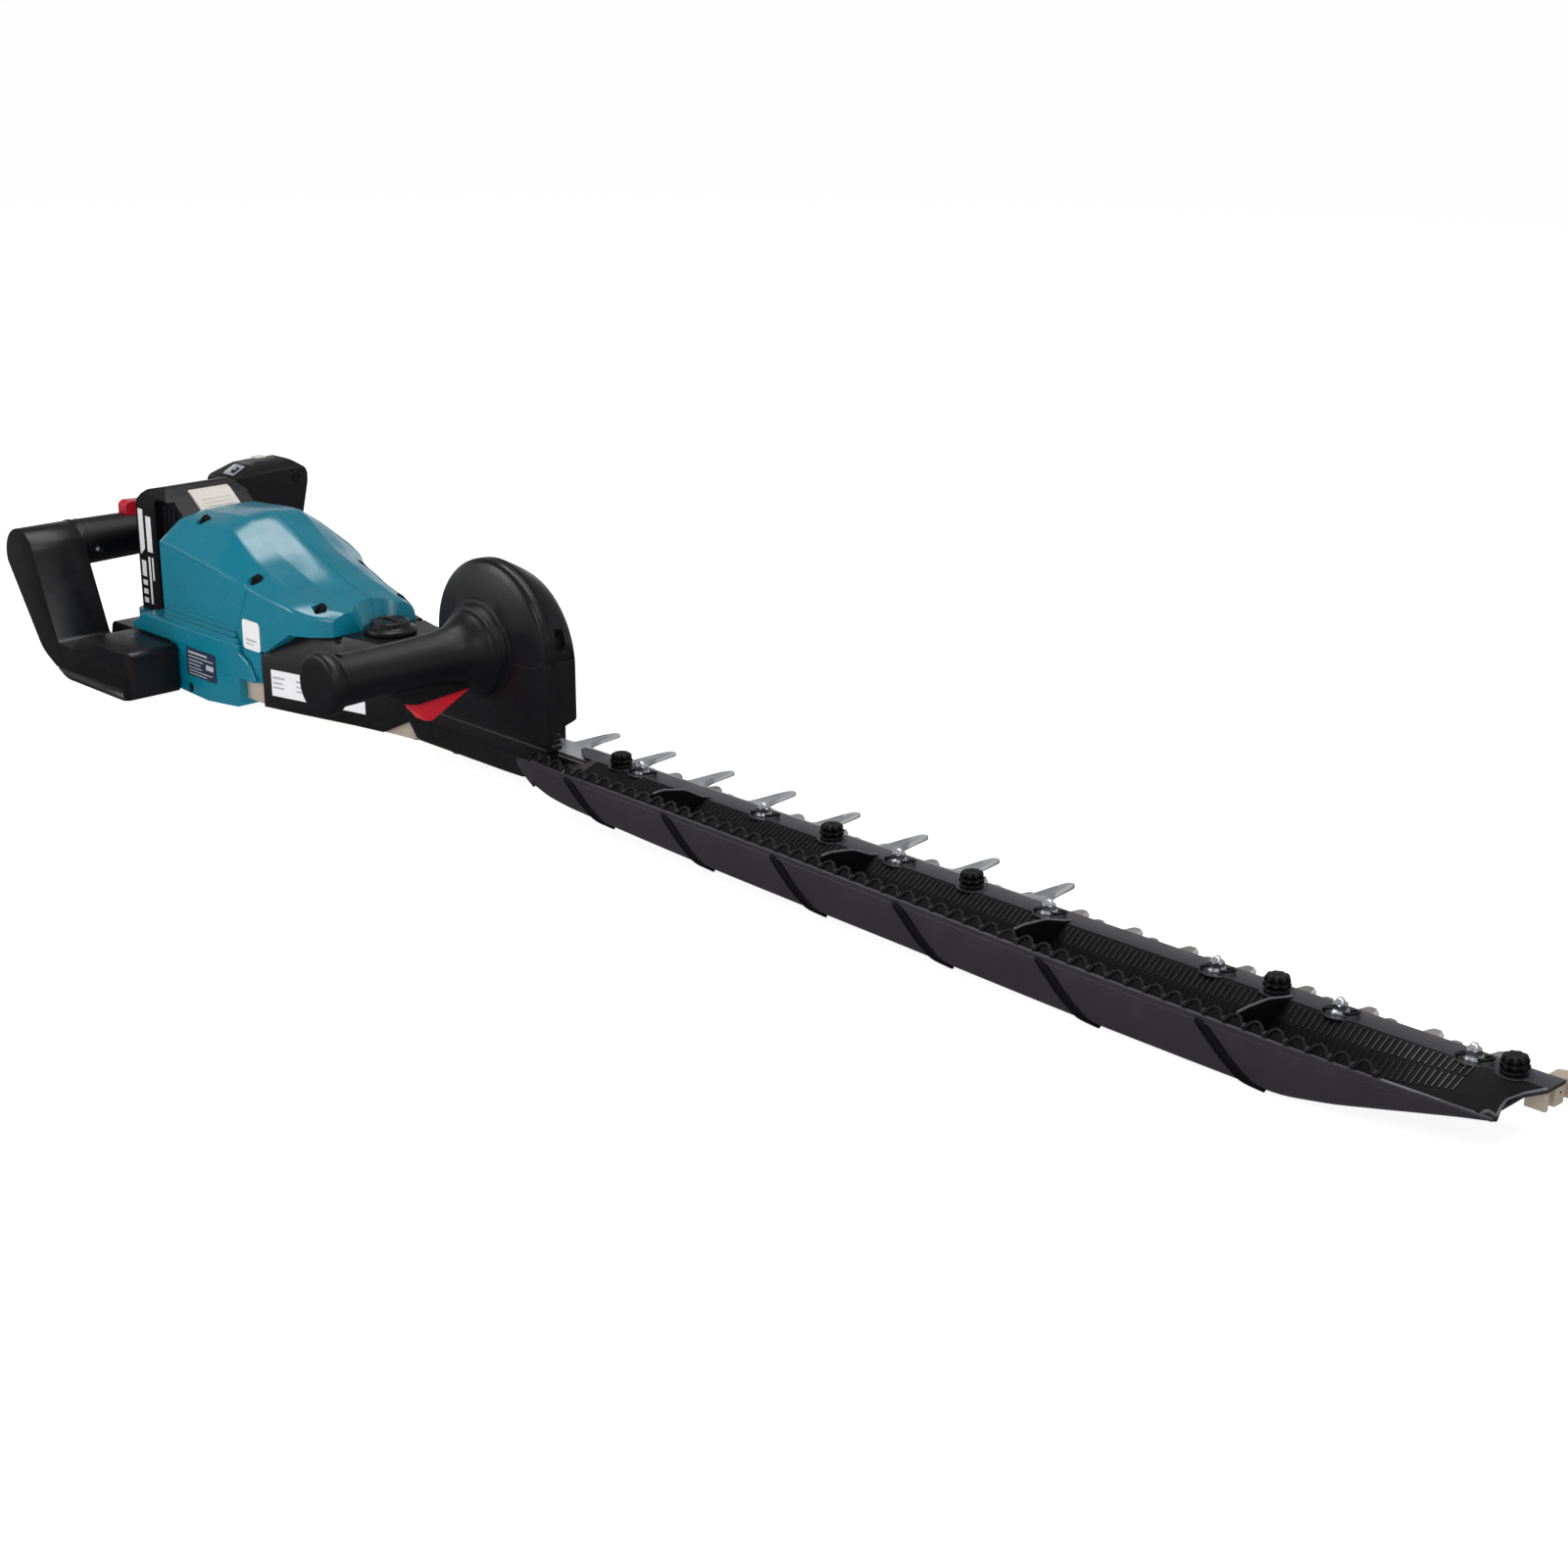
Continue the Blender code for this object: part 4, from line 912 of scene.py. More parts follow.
def trough_knob(index, x):
    """A ribbed hand nut on three stacked collars, with its stud."""
    foot = tool_box(f"receiver_knob_{index}")[0][2]
    profile = [(0, 0.3), (6.3, 0.3), (6.9, 0.8), (7.0, 1.6), (6.5, 2.3), (5.9, 2.6), (6.4, 2.9), (7.3, 3.4),
               (7.5, 4.3), (7.3, 5.2), (6.4, 5.7), (6.3, 5.9), (6.8, 6.3), (6.9, 7.2), (6.6, 8.3), (5.8, 9.2),
               (4.4, 9.6), (3.4, 9.6), (3.0, 9.1), (0, 9.0)]
    cap = turned("cap", profile, (x, 0, 0), "Z", "rubber_black", 144, flutes=(9, 1.5, 2.8, 9.3), sharp=50.0)
    stud = turned("stud", [(0, foot), (2.3, foot), (2.3, 1.0), (0, 1.0)], (x, 0, 0), "Z", "zinc_plate", 24)
    parts = [cap, stud]
    if foot < -10:
        head = [(0, 0), (2.4, 0), (4.2, 0.5), (4.6, 1.6), (4.6, 2.5), (0, 2.5)]
        parts.append(turned("head", head, (x, 0, foot), "Z", "zinc_plate", 40))
    piece(parts, f"hand_nut_{index}", f"knob_{index}", f"receiver_knob_{index}")


def tip_block():
    """The blunt cast block at the tip of the blades."""
    low, high = tool_box("tip_nose_block")
    outline = [(639, -5.2, 0), (650.5, -5.2, 0.8), (650.5, -2.4, 0.6), (647.6, -2.4, 0.6), (647.6, 3.4, 0.6),
               (650.5, 3.4, 0.6), (650.5, 11.6, 0.6), (648, 11.6, 0.6), (648, 17, 0.6), (651, 17, 0.8),
               (651, 23, 2.5), (644, 27, 3), (639, 24, 0)]
    nose = soften(prism("nose", fine(outline, 4), "Z", low[2], high[2], "cast_alloy"), 0.6)
    parts = [nose]
    for y in (7.5, 20.0):
        line = block("line", (638.5, y - 0.5, high[2] - 3.6), (650.9, y + 0.5, high[2] - 2.9), "shade_seam_and_screw_black")
        parts.append(soften(line, 0.1, 1))
    piece(parts, "tip_nose_shown", "frame", "tip_nose_block")


def guide():
    """The bar that carries both blades."""
    low, high = tool_box("guide_bar")
    corners = [(low[0], low[1], 0), (high[0], low[1], 3), (high[0], high[1], 6), (low[0], high[1], 0)]
    bar = prism("bar", fine(corners, 8), "Z", low[2], high[2], "nickel_steel")
    cut(bar, *[post(x, 0, low[2] - 5, high[2] + 5, 2.7) for x in BOLTS + KNOBS])
    piece(soften(bar, 0.35), "guide_bar_shown", "frame", "guide_bar")


def blade_group():
    """Everything along the blades."""
    receiver_group()
    guide()
    blade("upper_blade", FIRST_TOOTH_UPPER, STROKE_BACK, STROKE_AHEAD)
    blade("lower_blade", FIRST_TOOTH_LOWER, STROKE_AHEAD, STROKE_BACK)
    comb()
    for index, x in enumerate(BOLTS, 1):
        blade_fixing(index, x)
    for index, x in enumerate(KNOBS, 1):
        trough_knob(index, x)
    tip_block()


# ---------------------------------------------------------------- guard and front handle

HANDLE_X = middle("front_handle_cap", 0)
HANDLE_Z = middle("front_handle_cap", 2)
CAP_END = tool_box("front_handle_cap")[0][1]
GUARD_BOX = tool_box("hand_guard")
GUARD_REAR = GUARD_BOX[0][0]
GUARD_FRONT = GUARD_BOX[1][0]
GUARD_SPLIT = 70.0
SEAM = 0.15


def guard_arch(y, inset, drop, foot, steps=44):
    """One slice of the guard: two legs and a half-round top."""
    mid = 0.5 * (GUARD_REAR + GUARD_FRONT)
    radius = 0.5 * (GUARD_FRONT - GUARD_REAR) - inset
    spring = 75.0 - drop
    points = [(mid + radius, y, foot), (mid + radius, y, GUARD_SPLIT - 8)]
    for k in range(steps + 1):
        turn = math.pi * k / steps
        points.append((mid + radius * math.cos(turn), y, spring + radius * math.sin(turn)))
    points += [(mid - radius, y, GUARD_SPLIT - 8), (mid - radius, y, foot)]
    return points


def guard_half(name, upper):
    """The guard above the split line or its skirt below it."""
    step = 0.8 if upper else 0.0
    rows = [(-17.0, 3.6, 9.2, 32.5), (-17.5, 2.2, 8.9, 32.2), (-18.6, 0.9, 8.5, 31.6),
            (-20.5, 0.1, 8.0, 31.0), (-24.0, 0.0, 6.0, 30.0), (-34.0, 0.0, 0.6, 27.4),
            (-36.6, 0.0, 0.1, 24.0), (-37.2, step, 0.0, 23.0), (-38.4, step, 0.0, 20.4),
            (-39.0, 0.0, 0.0, 19.4), (-41.0, 0.0, 0.0, 16.0), (-42.6, 0.3, 0.0, 16.0),
            (-43.9, 1.1, 0.0, 16.1), (-44.8, 2.3, 0.0, 16.4), (-45.6, 4.0, 0.0, 17.0),
            (-46.6, 7.0, 0.2, 18.4), (-48.2, 12.5, 0.8, 22.0), (-49.6, 18.0, 1.4, 26.0),
            (-51.0, 25.0, 2.2, 31.5)]
    blank = loft(name, [guard_arch(*row) for row in rows], "satin_black", 40.0)
    cut(blank, pit(HANDLE_X, -55, HANDLE_Z, "Y", 7.0, 32.6, segments=96))
    if upper:
        slot = fine([(-34, 78.5, 4), (-26, 78.5, 4), (-26, 103, 4), (-34, 103, 4)], 8)
        flat = tool_block((GUARD_FRONT - 1.6, -43.2, 72.5), (GUARD_FRONT + 9, -20.0, 112))
        cut(blank, flat, tool(slot, "X", GUARD_FRONT - 5.0, GUARD_FRONT + 3))
    return keep_side(blank, 2, GUARD_SPLIT + (SEAM if upper else -SEAM), upper)


def guard_pieces():
    """The guard with its screw, and the skirt with its stepped lugs."""
    upper = soften(guard_half("guard", True), 0.5, 2, 50)
    head = [(0, -5.2), (3.2, -5.2), (3.2, -4.1), (2.8, -3.7), (1.5, -3.7), (1.4, -4.6), (0, -4.6)]
    screw = turned("screw", head, (GUARD_FRONT, -30.0, 90), "X", "shade_seam_and_screw_black", 24)
    piece([upper, screw], "hand_guard_shown", "frame", "hand_guard")
    lower = soften(guard_half("skirt", False), 0.5, 2, 50)
    lugs = []
    for k in range(4):
        z = 27.0 - 3.6 * k
        odd = k % 2
        lug = block("lug", (-47.0, -41.5 + 0.6 * odd, z - 2.7), (-43.0 + 0.8 * odd, -31.0, z), "satin_black")
        lugs.append(soften(lug, 0.5))
    piece([lower] + lugs, "guard_skirt_shown", "frame", "guard_skirt")


def front_grip():
    """The side grip with its chin round the lever, and the cap on its end."""
    collar = [(0, -46.5), (33.0, -46.5), (33.6, -47.4), (33.6, -50.6), (32.9, -51.9), (31.4, -52.4),
              (30.4, -52.6), (29.7, -53.6), (29.4, -56.6), (28.8, -57.8), (27.2, -58.4), (26.2, -59.2),
              (25.4, -61.5), (24.4, -64.0), (22.4, -67.0), (20.5, -70.4), (19.0, -74.5), (18.0, -79.5),
              (17.3, -86.0), (16.8, -94.0), (16.4, -110.0), (16.2, -130.0), (16.3, -150.0), (16.6, -160.0),
              (16.8, CAP_END + 12.4), (0, CAP_END + 12.4)]
    grip = turned("grip", collar, (HANDLE_X, 0, HANDLE_Z), "Y", "grip_black", 96, sharp=50.0)
    chin_line = fine([(-123, 60, 0), (-121.5, 53.0, 4), (-114, 49.6, 3), (-107, 48.6, 2), (-66, 51.6, 2),
                      (-66, 60, 0)])
    chin = tool(chin_line, "X", HANDLE_X - 9, HANDLE_X + 9)
    join(grip, chin)
    pocket = tool_block((HANDLE_X - 6.4, -113.5, 20), (HANDLE_X + 6.4, -62.0, 66.5))
    mark = tool_block((HANDLE_X - 4.5, -161.5, 86), (HANDLE_X + 4.5, -158.8, 99))
    cut(grip, pocket, mark)
    piece(soften(grip, 0.5, 2, 45), "front_grip_shown", "frame", "front_handle")
    profile = [(0, 12.1), (17.6, 12.1), (18.9, 11.3), (19.8, 9.8), (20.3, 7.6), (20.45, 5.0), (20.2, 2.9),
               (19.6, 1.6), (18.6, 0.9), (17.2, 0.6), (12.0, 0.2), (0, 0)]
    cap = turned("cap", profile, (HANDLE_X, CAP_END, HANDLE_Z), "Y", "grip_black", 96, sharp=60.0)
    piece(cap, "front_grip_cap_shown", "frame", "front_handle_cap")


def front_lever():
    """The red lever with three finger ribs on its front."""
    outline = fine([(-63.0, 52.0, 0.5), (-66, 56, 1), (-111, 57, 0), (-110, 49.4, 2), (-99.4, 35.3, 1.2),
                    (-94.4, 34.8, 1.5), (-63.5, 50.2, 1)])
    half = 5.9
    lever = prism("lever", outline, "X", HANDLE_X - half, HANDLE_X + half, "signal_red")
    parts = [soften(lever, 1.0, 4)]
    for t in (0.22, 0.42, 0.62):
        y = -99.2 - 12.4 * t
        z = 35.3 + 13.7 * t
        rib = block("rib", (HANDLE_X - 4.2, y - 0.5, z - 0.3), (HANDLE_X + 4.2, y + 1.2, z + 1.0),
                    "signal_red")
        parts.append(soften(rib, 0.3))
    piece(parts, "front_lever_shown", "front_lever", "front_lever")


def base_carrier():
    """The bracket between the gear case and the trough, and the screw below it."""
    section = fine([(-31, -17.5, 9), (27, -17.5, 5), (27, 15.7, 2), (-41, 15.7, 3), (-41, 4, 13)], 9)
    bracket = prism("bracket", section, "X", -199, -46, "satin_black")
    join(bracket, tool_block((-199, -30, 10), (-140, 27, 23.7)))
    corner = tool_block((-110, -31, -8), (-40, 40, 40))
    tunnel = tool_block((-230, -10, -15.5), (-40, 18, -2.2))
    keel = tool([(-130, -17.8), (-84, -15), (-40, -1), (-40, -30), (-130, -30)], "Y", -50, 50)
    cut(bracket, corner, tunnel, keel)
    piece(soften(bracket, 0.9, 3), "base_carrier_shown", "frame", "base_bracket")
    profile = [(0, -18.3), (6.5, -18.3), (6.7, -19.2), (6.3, -22.4), (5.0, -23.9), (3.0, -24.0), (2.8, -22.8),
               (0, -22.8)]
    bolt = turned("bolt", profile, (-178, -12, 0), "Z", "zinc_plate", 40)
    piece(bolt, "underside_screw_shown", "frame", "underside_bolt")


# ---------------------------------------------------------------- gear case and drive

CRANK_X = middle("crank_gear", 0)
IDLER_X = middle("idler_gear", 0)
ROTOR_X = middle("motor_rotor", 0)
CAP_X = middle("grease_cap", 0)
CAP_Y = middle("grease_cap", 1)
CAP_R = tool_box("grease_cap")[1][0] - CAP_X
COVER_TOP = 43.0
CASE_SCREWS = [(-372, -47), (-372, 47), (-300, -34), (-300, 34), (-216, -20), (-216, 20)]
COVER_SCREWS = [(-281, 33), (-283, -35.5), (-215, 20), (-215, -20)]


def gear_case():
    """The open cast case with its underside screws."""
    plan = mirrored([(-384, -42, 6), (-330, -44, 6), (-240, -33, 6), (-206, -28, 6)])
    case = prism("case", fine(plan), "Z", -18, 20, "cast_alloy")
    join(case, tool_block((-381, -55.5, -18), (-350.5, 55.5, 20)))
    hollow = tool(mirrored([(-346, -30), (-262, -30), (-217, -26)]), "Z", -15.0, 30)
    gate = tool_block((-230, -8.5, -13.8), (-200, 16.5, -3.0))
    cut(case, hollow, gate)
    parts = [soften(case, 1.2)]
    for x, y in CASE_SCREWS:
        head = [(0, -18.2), (3.8, -18.2), (4.0, -18.8), (3.6, -20.8), (2.0, -20.9), (1.9, -19.6), (0, -19.6)]
        parts.append(turned("screw", head, (x, y, 0), "Z", "zinc_plate", 32))
    piece(parts, "gear_case_shown", "frame", "gear_case")


def cover_ring(x, half, low, shoulder, top=COVER_TOP):
    """Section of the gear cover with sloping shoulders."""
    side = min(17.0, top - 2.0)
    return [(x, -half, low), (x, -half, side), (x, -half + shoulder, top), (x, half - shoulder, top),
            (x, half, side), (x, half, low)]


def cover_void(x, half):
    """Section of the gear cover's hollow."""
    return [(x, -half, -40), (x, half, -40), (x, half, 21), (x, -half, 21)]


def gear_cover():
    """The cover over the gear case, open below and at both ends, with its screws."""
    rings = [cover_ring(-349, 58, -16, 3, 20), cover_ring(-347, 60, -17.5, 3, 21.5),
             cover_ring(-311, 52, -17.5, 9), cover_ring(-262, 40, -17.5, 9), cover_ring(-236, 35, -17.5, 7),
             cover_ring(-206, 31, -3, 6)]
    outer = loft("cover", rings, "satin_black")
    deck = tool(fine([(-240, -30, 0), (-158, -27, 3), (-158, 29, 3), (-240, 30, 0)]), "Z", 24.2, COVER_TOP)
    join(outer, deck)
    hollow = [cover_void(x, half) for x, half in ((-360, 47), (-330, 46), (-240, 33.5), (-205.5, 28.5))]
    inner = loft("tool", hollow, "satin_black")
    mouth = tool_block((-210, -28.2, -42), (-203, 28.2, 20.8))
    well = post(ROTOR_X, 0, 15, 60, 27.5, segments=48)
    bearing = post(IDLER_X, 0, 15, 24, 5.4)
    rear_mouth = tool_block((-360, -20, 15), (ROTOR_X - 10, 20, 60))
    screws = [post(x, y, COVER_TOP - 5, COVER_TOP + 4, 3.4) for x, y in COVER_SCREWS]
    cut(outer, inner, mouth, well, bearing, rear_mouth, *screws)
    parts = [soften(outer, 1.5, 4, 25)]
    for x, y in COVER_SCREWS:
        head = [(0, 38.2), (3.2, 38.2), (3.2, 40.6), (2.6, 41.0), (1.5, 41.0), (1.4, 39.8), (0, 39.8)]
        parts.append(turned("screw", head, (x, y, 0), "Z", "satin_black", 24))
    piece(parts, "gear_cover_shown", "frame", "gear_cover")


def on_cover(x0, x1, low, high, out, thick, look, edge):
    """A thin plate that lies on the cover's slanting near face."""
    slant = (60 - 40) / (345 - 262)
    rings = []
    for x in (x0, x1):
        y = -60 + slant * (x + 345) - out
        rings.append([(x, y, low), (x, y, high), (x, y + thick, high), (x, y + thick, low)])
    return soften(loft("plate", rings, look), edge, 2)


def cover_plate():
    """Blank pale plate on the near face, with plain bars where lines of print would be."""
    parts = [on_cover(-338, -252, -7.5, 12, 0.55, 0.7, "label_white", 0.2)]
    for x in (-331.0, -309.0, -287.0, -265.0):
        parts.append(on_cover(x - 5.5, x + 5.5, 5.5, 7.2, 0.7, 0.2, "label_mark", 0.04))
        parts.append(on_cover(x - 5.5, x + 3.5, 1.8, 3.1, 0.7, 0.2, "label_mark", 0.04))
        parts.append(on_cover(x - 5.5, x + 4.6, -1.6, -0.3, 0.7, 0.2, "label_mark", 0.04))
    piece(parts, "cover_plate_shown", "frame", "cover_label")


def grease_cap():
    """The fluted round cap with a coin slot."""
    r = CAP_R
    profile = [(0, 0.3), (r - 0.4, 0.3), (r, 0.9), (r, 2.9), (r - 0.4, 3.8), (r - 1.3, 4.3), (15.4, 4.7),
               (14.7, 5.1), (14.3, 5.9), (14.2, 7.7), (13.7, 8.7), (12.6, 9.2), (10.8, 9.3), (10.2, 8.9),
               (0, 8.8)]
    cap = turned("cap", profile, (CAP_X, CAP_Y, COVER_TOP), "Z", "satin_black", 120,
                 flutes=(30, 0.5, 5.4, 8.0), sharp=50.0)
    slot = rounded(CAP_X - 8.5, CAP_Y - 1.4, CAP_X + 8.5, CAP_Y + 1.4, 1.3)
    cut(cap, tool(slot, "Z", COVER_TOP + 7.2, COVER_TOP + 12))
    piece(cap, "grease_cap_shown", "grease_cap", "grease_cap")


def gear(teeth, centre, low, high, root, tip, shaft):
    """A spur gear on its shaft."""
    outline = []
    for k in range(teeth):
        for part, r in ((-0.32, root), (-0.17, tip), (0.17, tip), (0.32, root)):
            turn = 2 * math.pi * (k + part) / teeth
            outline.append((centre + r * math.cos(turn), r * math.sin(turn)))
    wheel = soften(prism("wheel", outline, "Z", low, high, "nickel_steel"), 0.25, 2)
    return [wheel, turned("shaft", shaft, (centre, 0, 0), "Z", "nickel_steel", 48)]


def drive_pieces():
    """Crank, idler, rotor and stator."""
    shaft = [(0, -4), (8, -4), (8, 8), (8.6, 8.4), (8.6, 15), (6, 16.2), (6, 19.5), (0, 19.5)]
    crank = gear(66, CRANK_X, 8, 16, 25.7, 26.9, shaft)
    cam = post(CRANK_X - THROW * 0.58, 0, -12.4, -4.2, DRIVE_R, "nickel_steel", 48)
    web = post(CRANK_X, 0, -4.4, -3.9, THROW + DRIVE_R, "nickel_steel", 64)
    piece(crank + [cam, web], "crank_gear_shown", "crank", "crank_gear")
    shaft = [(0, -6), (5, -6), (5, 5), (4.9, 16), (4.9, 22.5), (0, 22.5)]
    idler = gear(22, IDLER_X, 5, 16, 7.6, 8.9, shaft)
    wheel = gear(54, IDLER_X, -3, 5, 20.7, 21.9, [(0, -3.2), (7, -3.2), (7, 5.2), (0, 5.2)])
    piece(idler + wheel, "idler_gear_shown", "idler", "idler_gear")
    pinion = gear(18, ROTOR_X, -12, 6, 6.5, 7.9, [(0, -12), (4, -12), (4, 60), (0, 60)])
    profile = [(0, 26), (12.4, 26), (13, 26.6), (13, 51.4), (12.4, 52), (0, 52)]
    core = turned("core", profile, (ROTOR_X, 0, 0), "Z", "nickel_steel", 48)
    piece(pinion + [core], "motor_rotor_shown", "rotor", "motor_rotor")
    coil = [(14.0, 25.5), (14.5, 25), (26, 25), (26.5, 25.5), (26.5, 53.5), (26, 54), (14.5, 54),
            (14.0, 53.5)]
    ring = turned("ring", coil, (ROTOR_X, 0, 0), "Z", "cast_alloy", 64, closed=True)
    piece(ring, "motor_stator_shown", "frame", "motor_stator")


# ---------------------------------------------------------------- housing

GROUND = tool_box("housing_near_shell")[0][2]
# (x, crown z, drop at the crest edge, near width, near shoulder z, far width, far shoulder z)
HOUSING = [
    (-479.0, 101.5, 1.0, 59.4, 82.5, 59.4, 82.5),
    (-474.0, 103.0, 1.0, 60.0, 84.0, 60.0, 84.0),
    (-459.0, 104.0, 1.0, 60.0, 82.5, 60.0, 82.5),
    (-413.0, 107.8, 2.6, 60.0, 76.3, 60.0, 76.3),
    (-408.0, 107.0, 3.6, 60.0, 75.6, 60.0, 75.2),
    (-390.0, 99.5, 6.0, 60.0, 73.0, 58.0, 70.0),
    (-372.0, 91.5, 7.5, 60.0, 70.5, 50.0, 66.0),
    (-347.0, 80.0, 5.0, 60.0, 66.5, 44.0, 62.5),
    (-331.0, 73.5, 4.0, 60.0, 65.0, 41.0, 59.0),
    (-311.0, 66.5, 2.0, 59.0, 62.5, 39.0, 55.0),
    (-296.0, 63.0, 2.0, 52.5, 58.0, 36.0, 52.0),
    (-288.0, 61.4, 2.0, 45.5, 56.0, 33.0, 50.0),
    (-283.5, 60.0, 2.0, 40.0, 54.5, 30.5, 48.6),
]
# half width of the housing's crown
CREST = 22.0
NEAR_BULGE = (1.2, 0.24)
FAR_BULGE = (1.6, 0.0)
BATTERY_BAY = ((-548.4, -38.4, -5), (-483.6, 38.4, 50))


def waist_height(top, low, bulge):
    """Height of the middle of a sloping shoulder, a little above its straight line."""
    return 0.5 * (top + low) + bulge[0] + bulge[1] * (top - low)


def housing_low(x):
    """Where the housing's upper shell ends below, stepping up over the gear cover."""
    if x <= -347:
        return 24.0
    if x >= -311:
        return COVER_TOP - 0.4
    return 20.9 + (COVER_TOP - 21.3) * (x + 347) / 36.0


def housing_ring(x):
    """Section of the upper shell: walls, two sloping shoulders and the crown."""
    crown, drop, near, near_z, far, far_z = smooth_between([x], HOUSING)[0]
    top = crown - drop
    near_mid = (-0.5 * (CREST + near), waist_height(top, near_z, NEAR_BULGE))
    far_mid = (0.5 * (CREST + far), waist_height(top, far_z, FAR_BULGE))
    low = housing_low(x)
    corners = [(-near, low, 0), (-near, near_z, 3.0), (*near_mid, 14), (-CREST, top, 9), (0, crown, 60),
               (CREST, top, 9), (*far_mid, 30), (far, far_z, 3.0), (far, low, 0)]
    return [(x, y, z) for y, z in fine(corners, 5)]


HOLE_R = 5.3
HOLE_DEEP = 3.0
HOLE_TILT = 0.56
SCREW_TOP = -1.2
SOCKET_FLOOR = -1.8
SCREWS = [(-450.8, 37.9), (-361.5, 52.4), (-297.7, 42.0)]


def tilted(obj, y, z, turn):
    """Turn an object about the lengthwise line through (y, z)."""
    mid_y, mid_z = (y + ORIGIN[1]) * MM, (z + ORIGIN[2]) * MM
    for vert in obj.data.vertices:
        dy, dz = vert.co.y - mid_y, vert.co.z - mid_z
        vert.co.y = mid_y + math.cos(turn) * dy - math.sin(turn) * dz
        vert.co.z = mid_z + math.sin(turn) * dy + math.cos(turn) * dz
    return obj


def slope_point(x, out, sign):
    """(y, z) on the sloping shoulder, at the same share of its width on either side."""
    crown, drop, near, near_z, far, far_z = smooth_between([x], HOUSING)[0]
    half, low = (near, near_z) if sign < 0 else (far, far_z)
    share = (near - out) / (near - CREST)
    top = crown - drop
    waist = waist_height(top, low, NEAR_BULGE if sign < 0 else FAR_BULGE)
    z = low + 2 * share * (waist - low) if share < 0.5 else waist + (2 * share - 1) * (top - waist)
    return sign * (half - share * (half - CREST)), z


def housing_body():
    """The upper shell, cleared round the grease cap and pitted for its screws."""
    xs = between(-479, -474, 1.7)[:-1] + between(-474, -413, 6)[:-1] + between(-413, -347, 4)[:-1]
    xs += between(-347, -311, 4)[:-1] + between(-311, -283.5, 2.5)
    body = loft("body", [housing_ring(x) for x in xs], "teal_gloss", 30.0)
    screws = []
    for sign in (-1, 1):
        for x, aside in SCREWS:
            y, z = slope_point(x, aside, sign)
            screws.append(tilted(pit(x, y, z, "Y", HOLE_DEEP, HOLE_R, 40), y, z, HOLE_TILT * sign))
    clearance = [(0, 42), (CAP_R + 2.4, 42), (CAP_R + 3.6, 46), (CAP_R + 9.0, 63), (0, 63)]
    cut(body, turned("tool", clearance, (CAP_X, CAP_Y, 0), "Z", "teal_gloss", 96), *screws)
    return body


def housing_extras():
    """Lower box, stepped ledge, shoe under the battery, front skirt and raised side panels."""
    side = fine([(-468, GROUND + 2, 4), (-421, GROUND, 3), (-376, -24, 5), (-376, 26, 0), (-470, 26, 0)])
    box = prism("box", side, "Y", -62, 62, "teal_gloss")
    belly = tool_block((-462, -58, GROUND + 5), (-396, 58, 20))
    cut(box, belly, pit(-445, -62, -23, "Y", 3.5, 4.2), pit(-445, 62, -23, "Y", 3.5, 4.2))
    extras = [(box, 2.6, 4)]
    steps = [(24.6, 28.4, 64.2, -374.0), (28.4, 32.0, 62.9, -377.0), (32.0, 35.4, 61.7, -379.0),
             (35.4, 38.2, 60.8, -381.0)]
    for low, high, half, front in steps:
        plan = mirrored([(-478, -half, 9), (front, -half, 2)])
        extras.append((prism("step", fine(plan), "Z", low - 1.2, high, "teal_gloss"), 0.8, 3))
    line = fine([(-520.5, 9, 2), (-520.5, 14, 9), (-503, 24.6, 12), (-372, 24.6, 2), (-372, 9, 0)], 8)
    ledge = prism("ledge", line, "Y", -64.2, 64.2, "teal_gloss")
    cut(ledge, tool_block(*BATTERY_BAY))
    extras.append((ledge, 3.2, 5))
    back = tool_box("housing_near_shell")[0][0]
    line = mirrored([(back, -44, 11), (-480, -44.4, 4), (-470, -62.5, 6), (-440, -62.5, 0)])
    shoe = prism("shoe", fine(line), "Z", 9, 16, "teal_gloss")
    extras.append((cut(shoe, tool_block(*BATTERY_BAY)), 2.0, 4))
    skirt = loft("skirt", [[(x, -h, -1.5), (x, h, -1.5), (x, h, 40), (x, -h, 40)]
                           for x, h in ((-386, 60), (-356, 60.5), (-351, 58))], "teal_gloss")
    under = tool_block((-397, -56.5, -40), (-345, 56.5, 30))
    extras.append((cut(skirt, under), 1.4, 3))
    for sign in (-1, 1):
        line = [(-477, 78.5, 3), (-459, 79.5, 10), (-411, 73.2, 8), (-362.8, 69.9, 1.5), (-360.7, 66, 4),
                (-375.9, 36.2, 6), (-385.3, 23.4, 1), (-477, 23.4, 1)]
        if sign > 0:
            line = [(-477, 37, 1), (-477, 78.5, 3), (-459, 79.5, 10), (-413, 73.0, 8), (-400, 70, 1.5),
                    (-402, 37, 1)]
        low, high = sorted((sign * 57.0, sign * 60.75))
        extras.append((prism("panel", fine(line), "Y", low, high, "teal_gloss"), 0.7, 3))
    scoop = [(-399, -1.5, 2), (-400, 13.0, 9), (-390, 20.0, 9), (-376, 20.5, 9), (-360, 13.0, 9),
             (-352, -1.5, 2)]
    for sign in (-1, 1):
        low, high = sorted((sign * 57.0, sign * 63.6))
        extras.append((prism("boss", fine(scoop, 8), "Y", low, high, "teal_gloss"), 3.0, 6))
    return extras


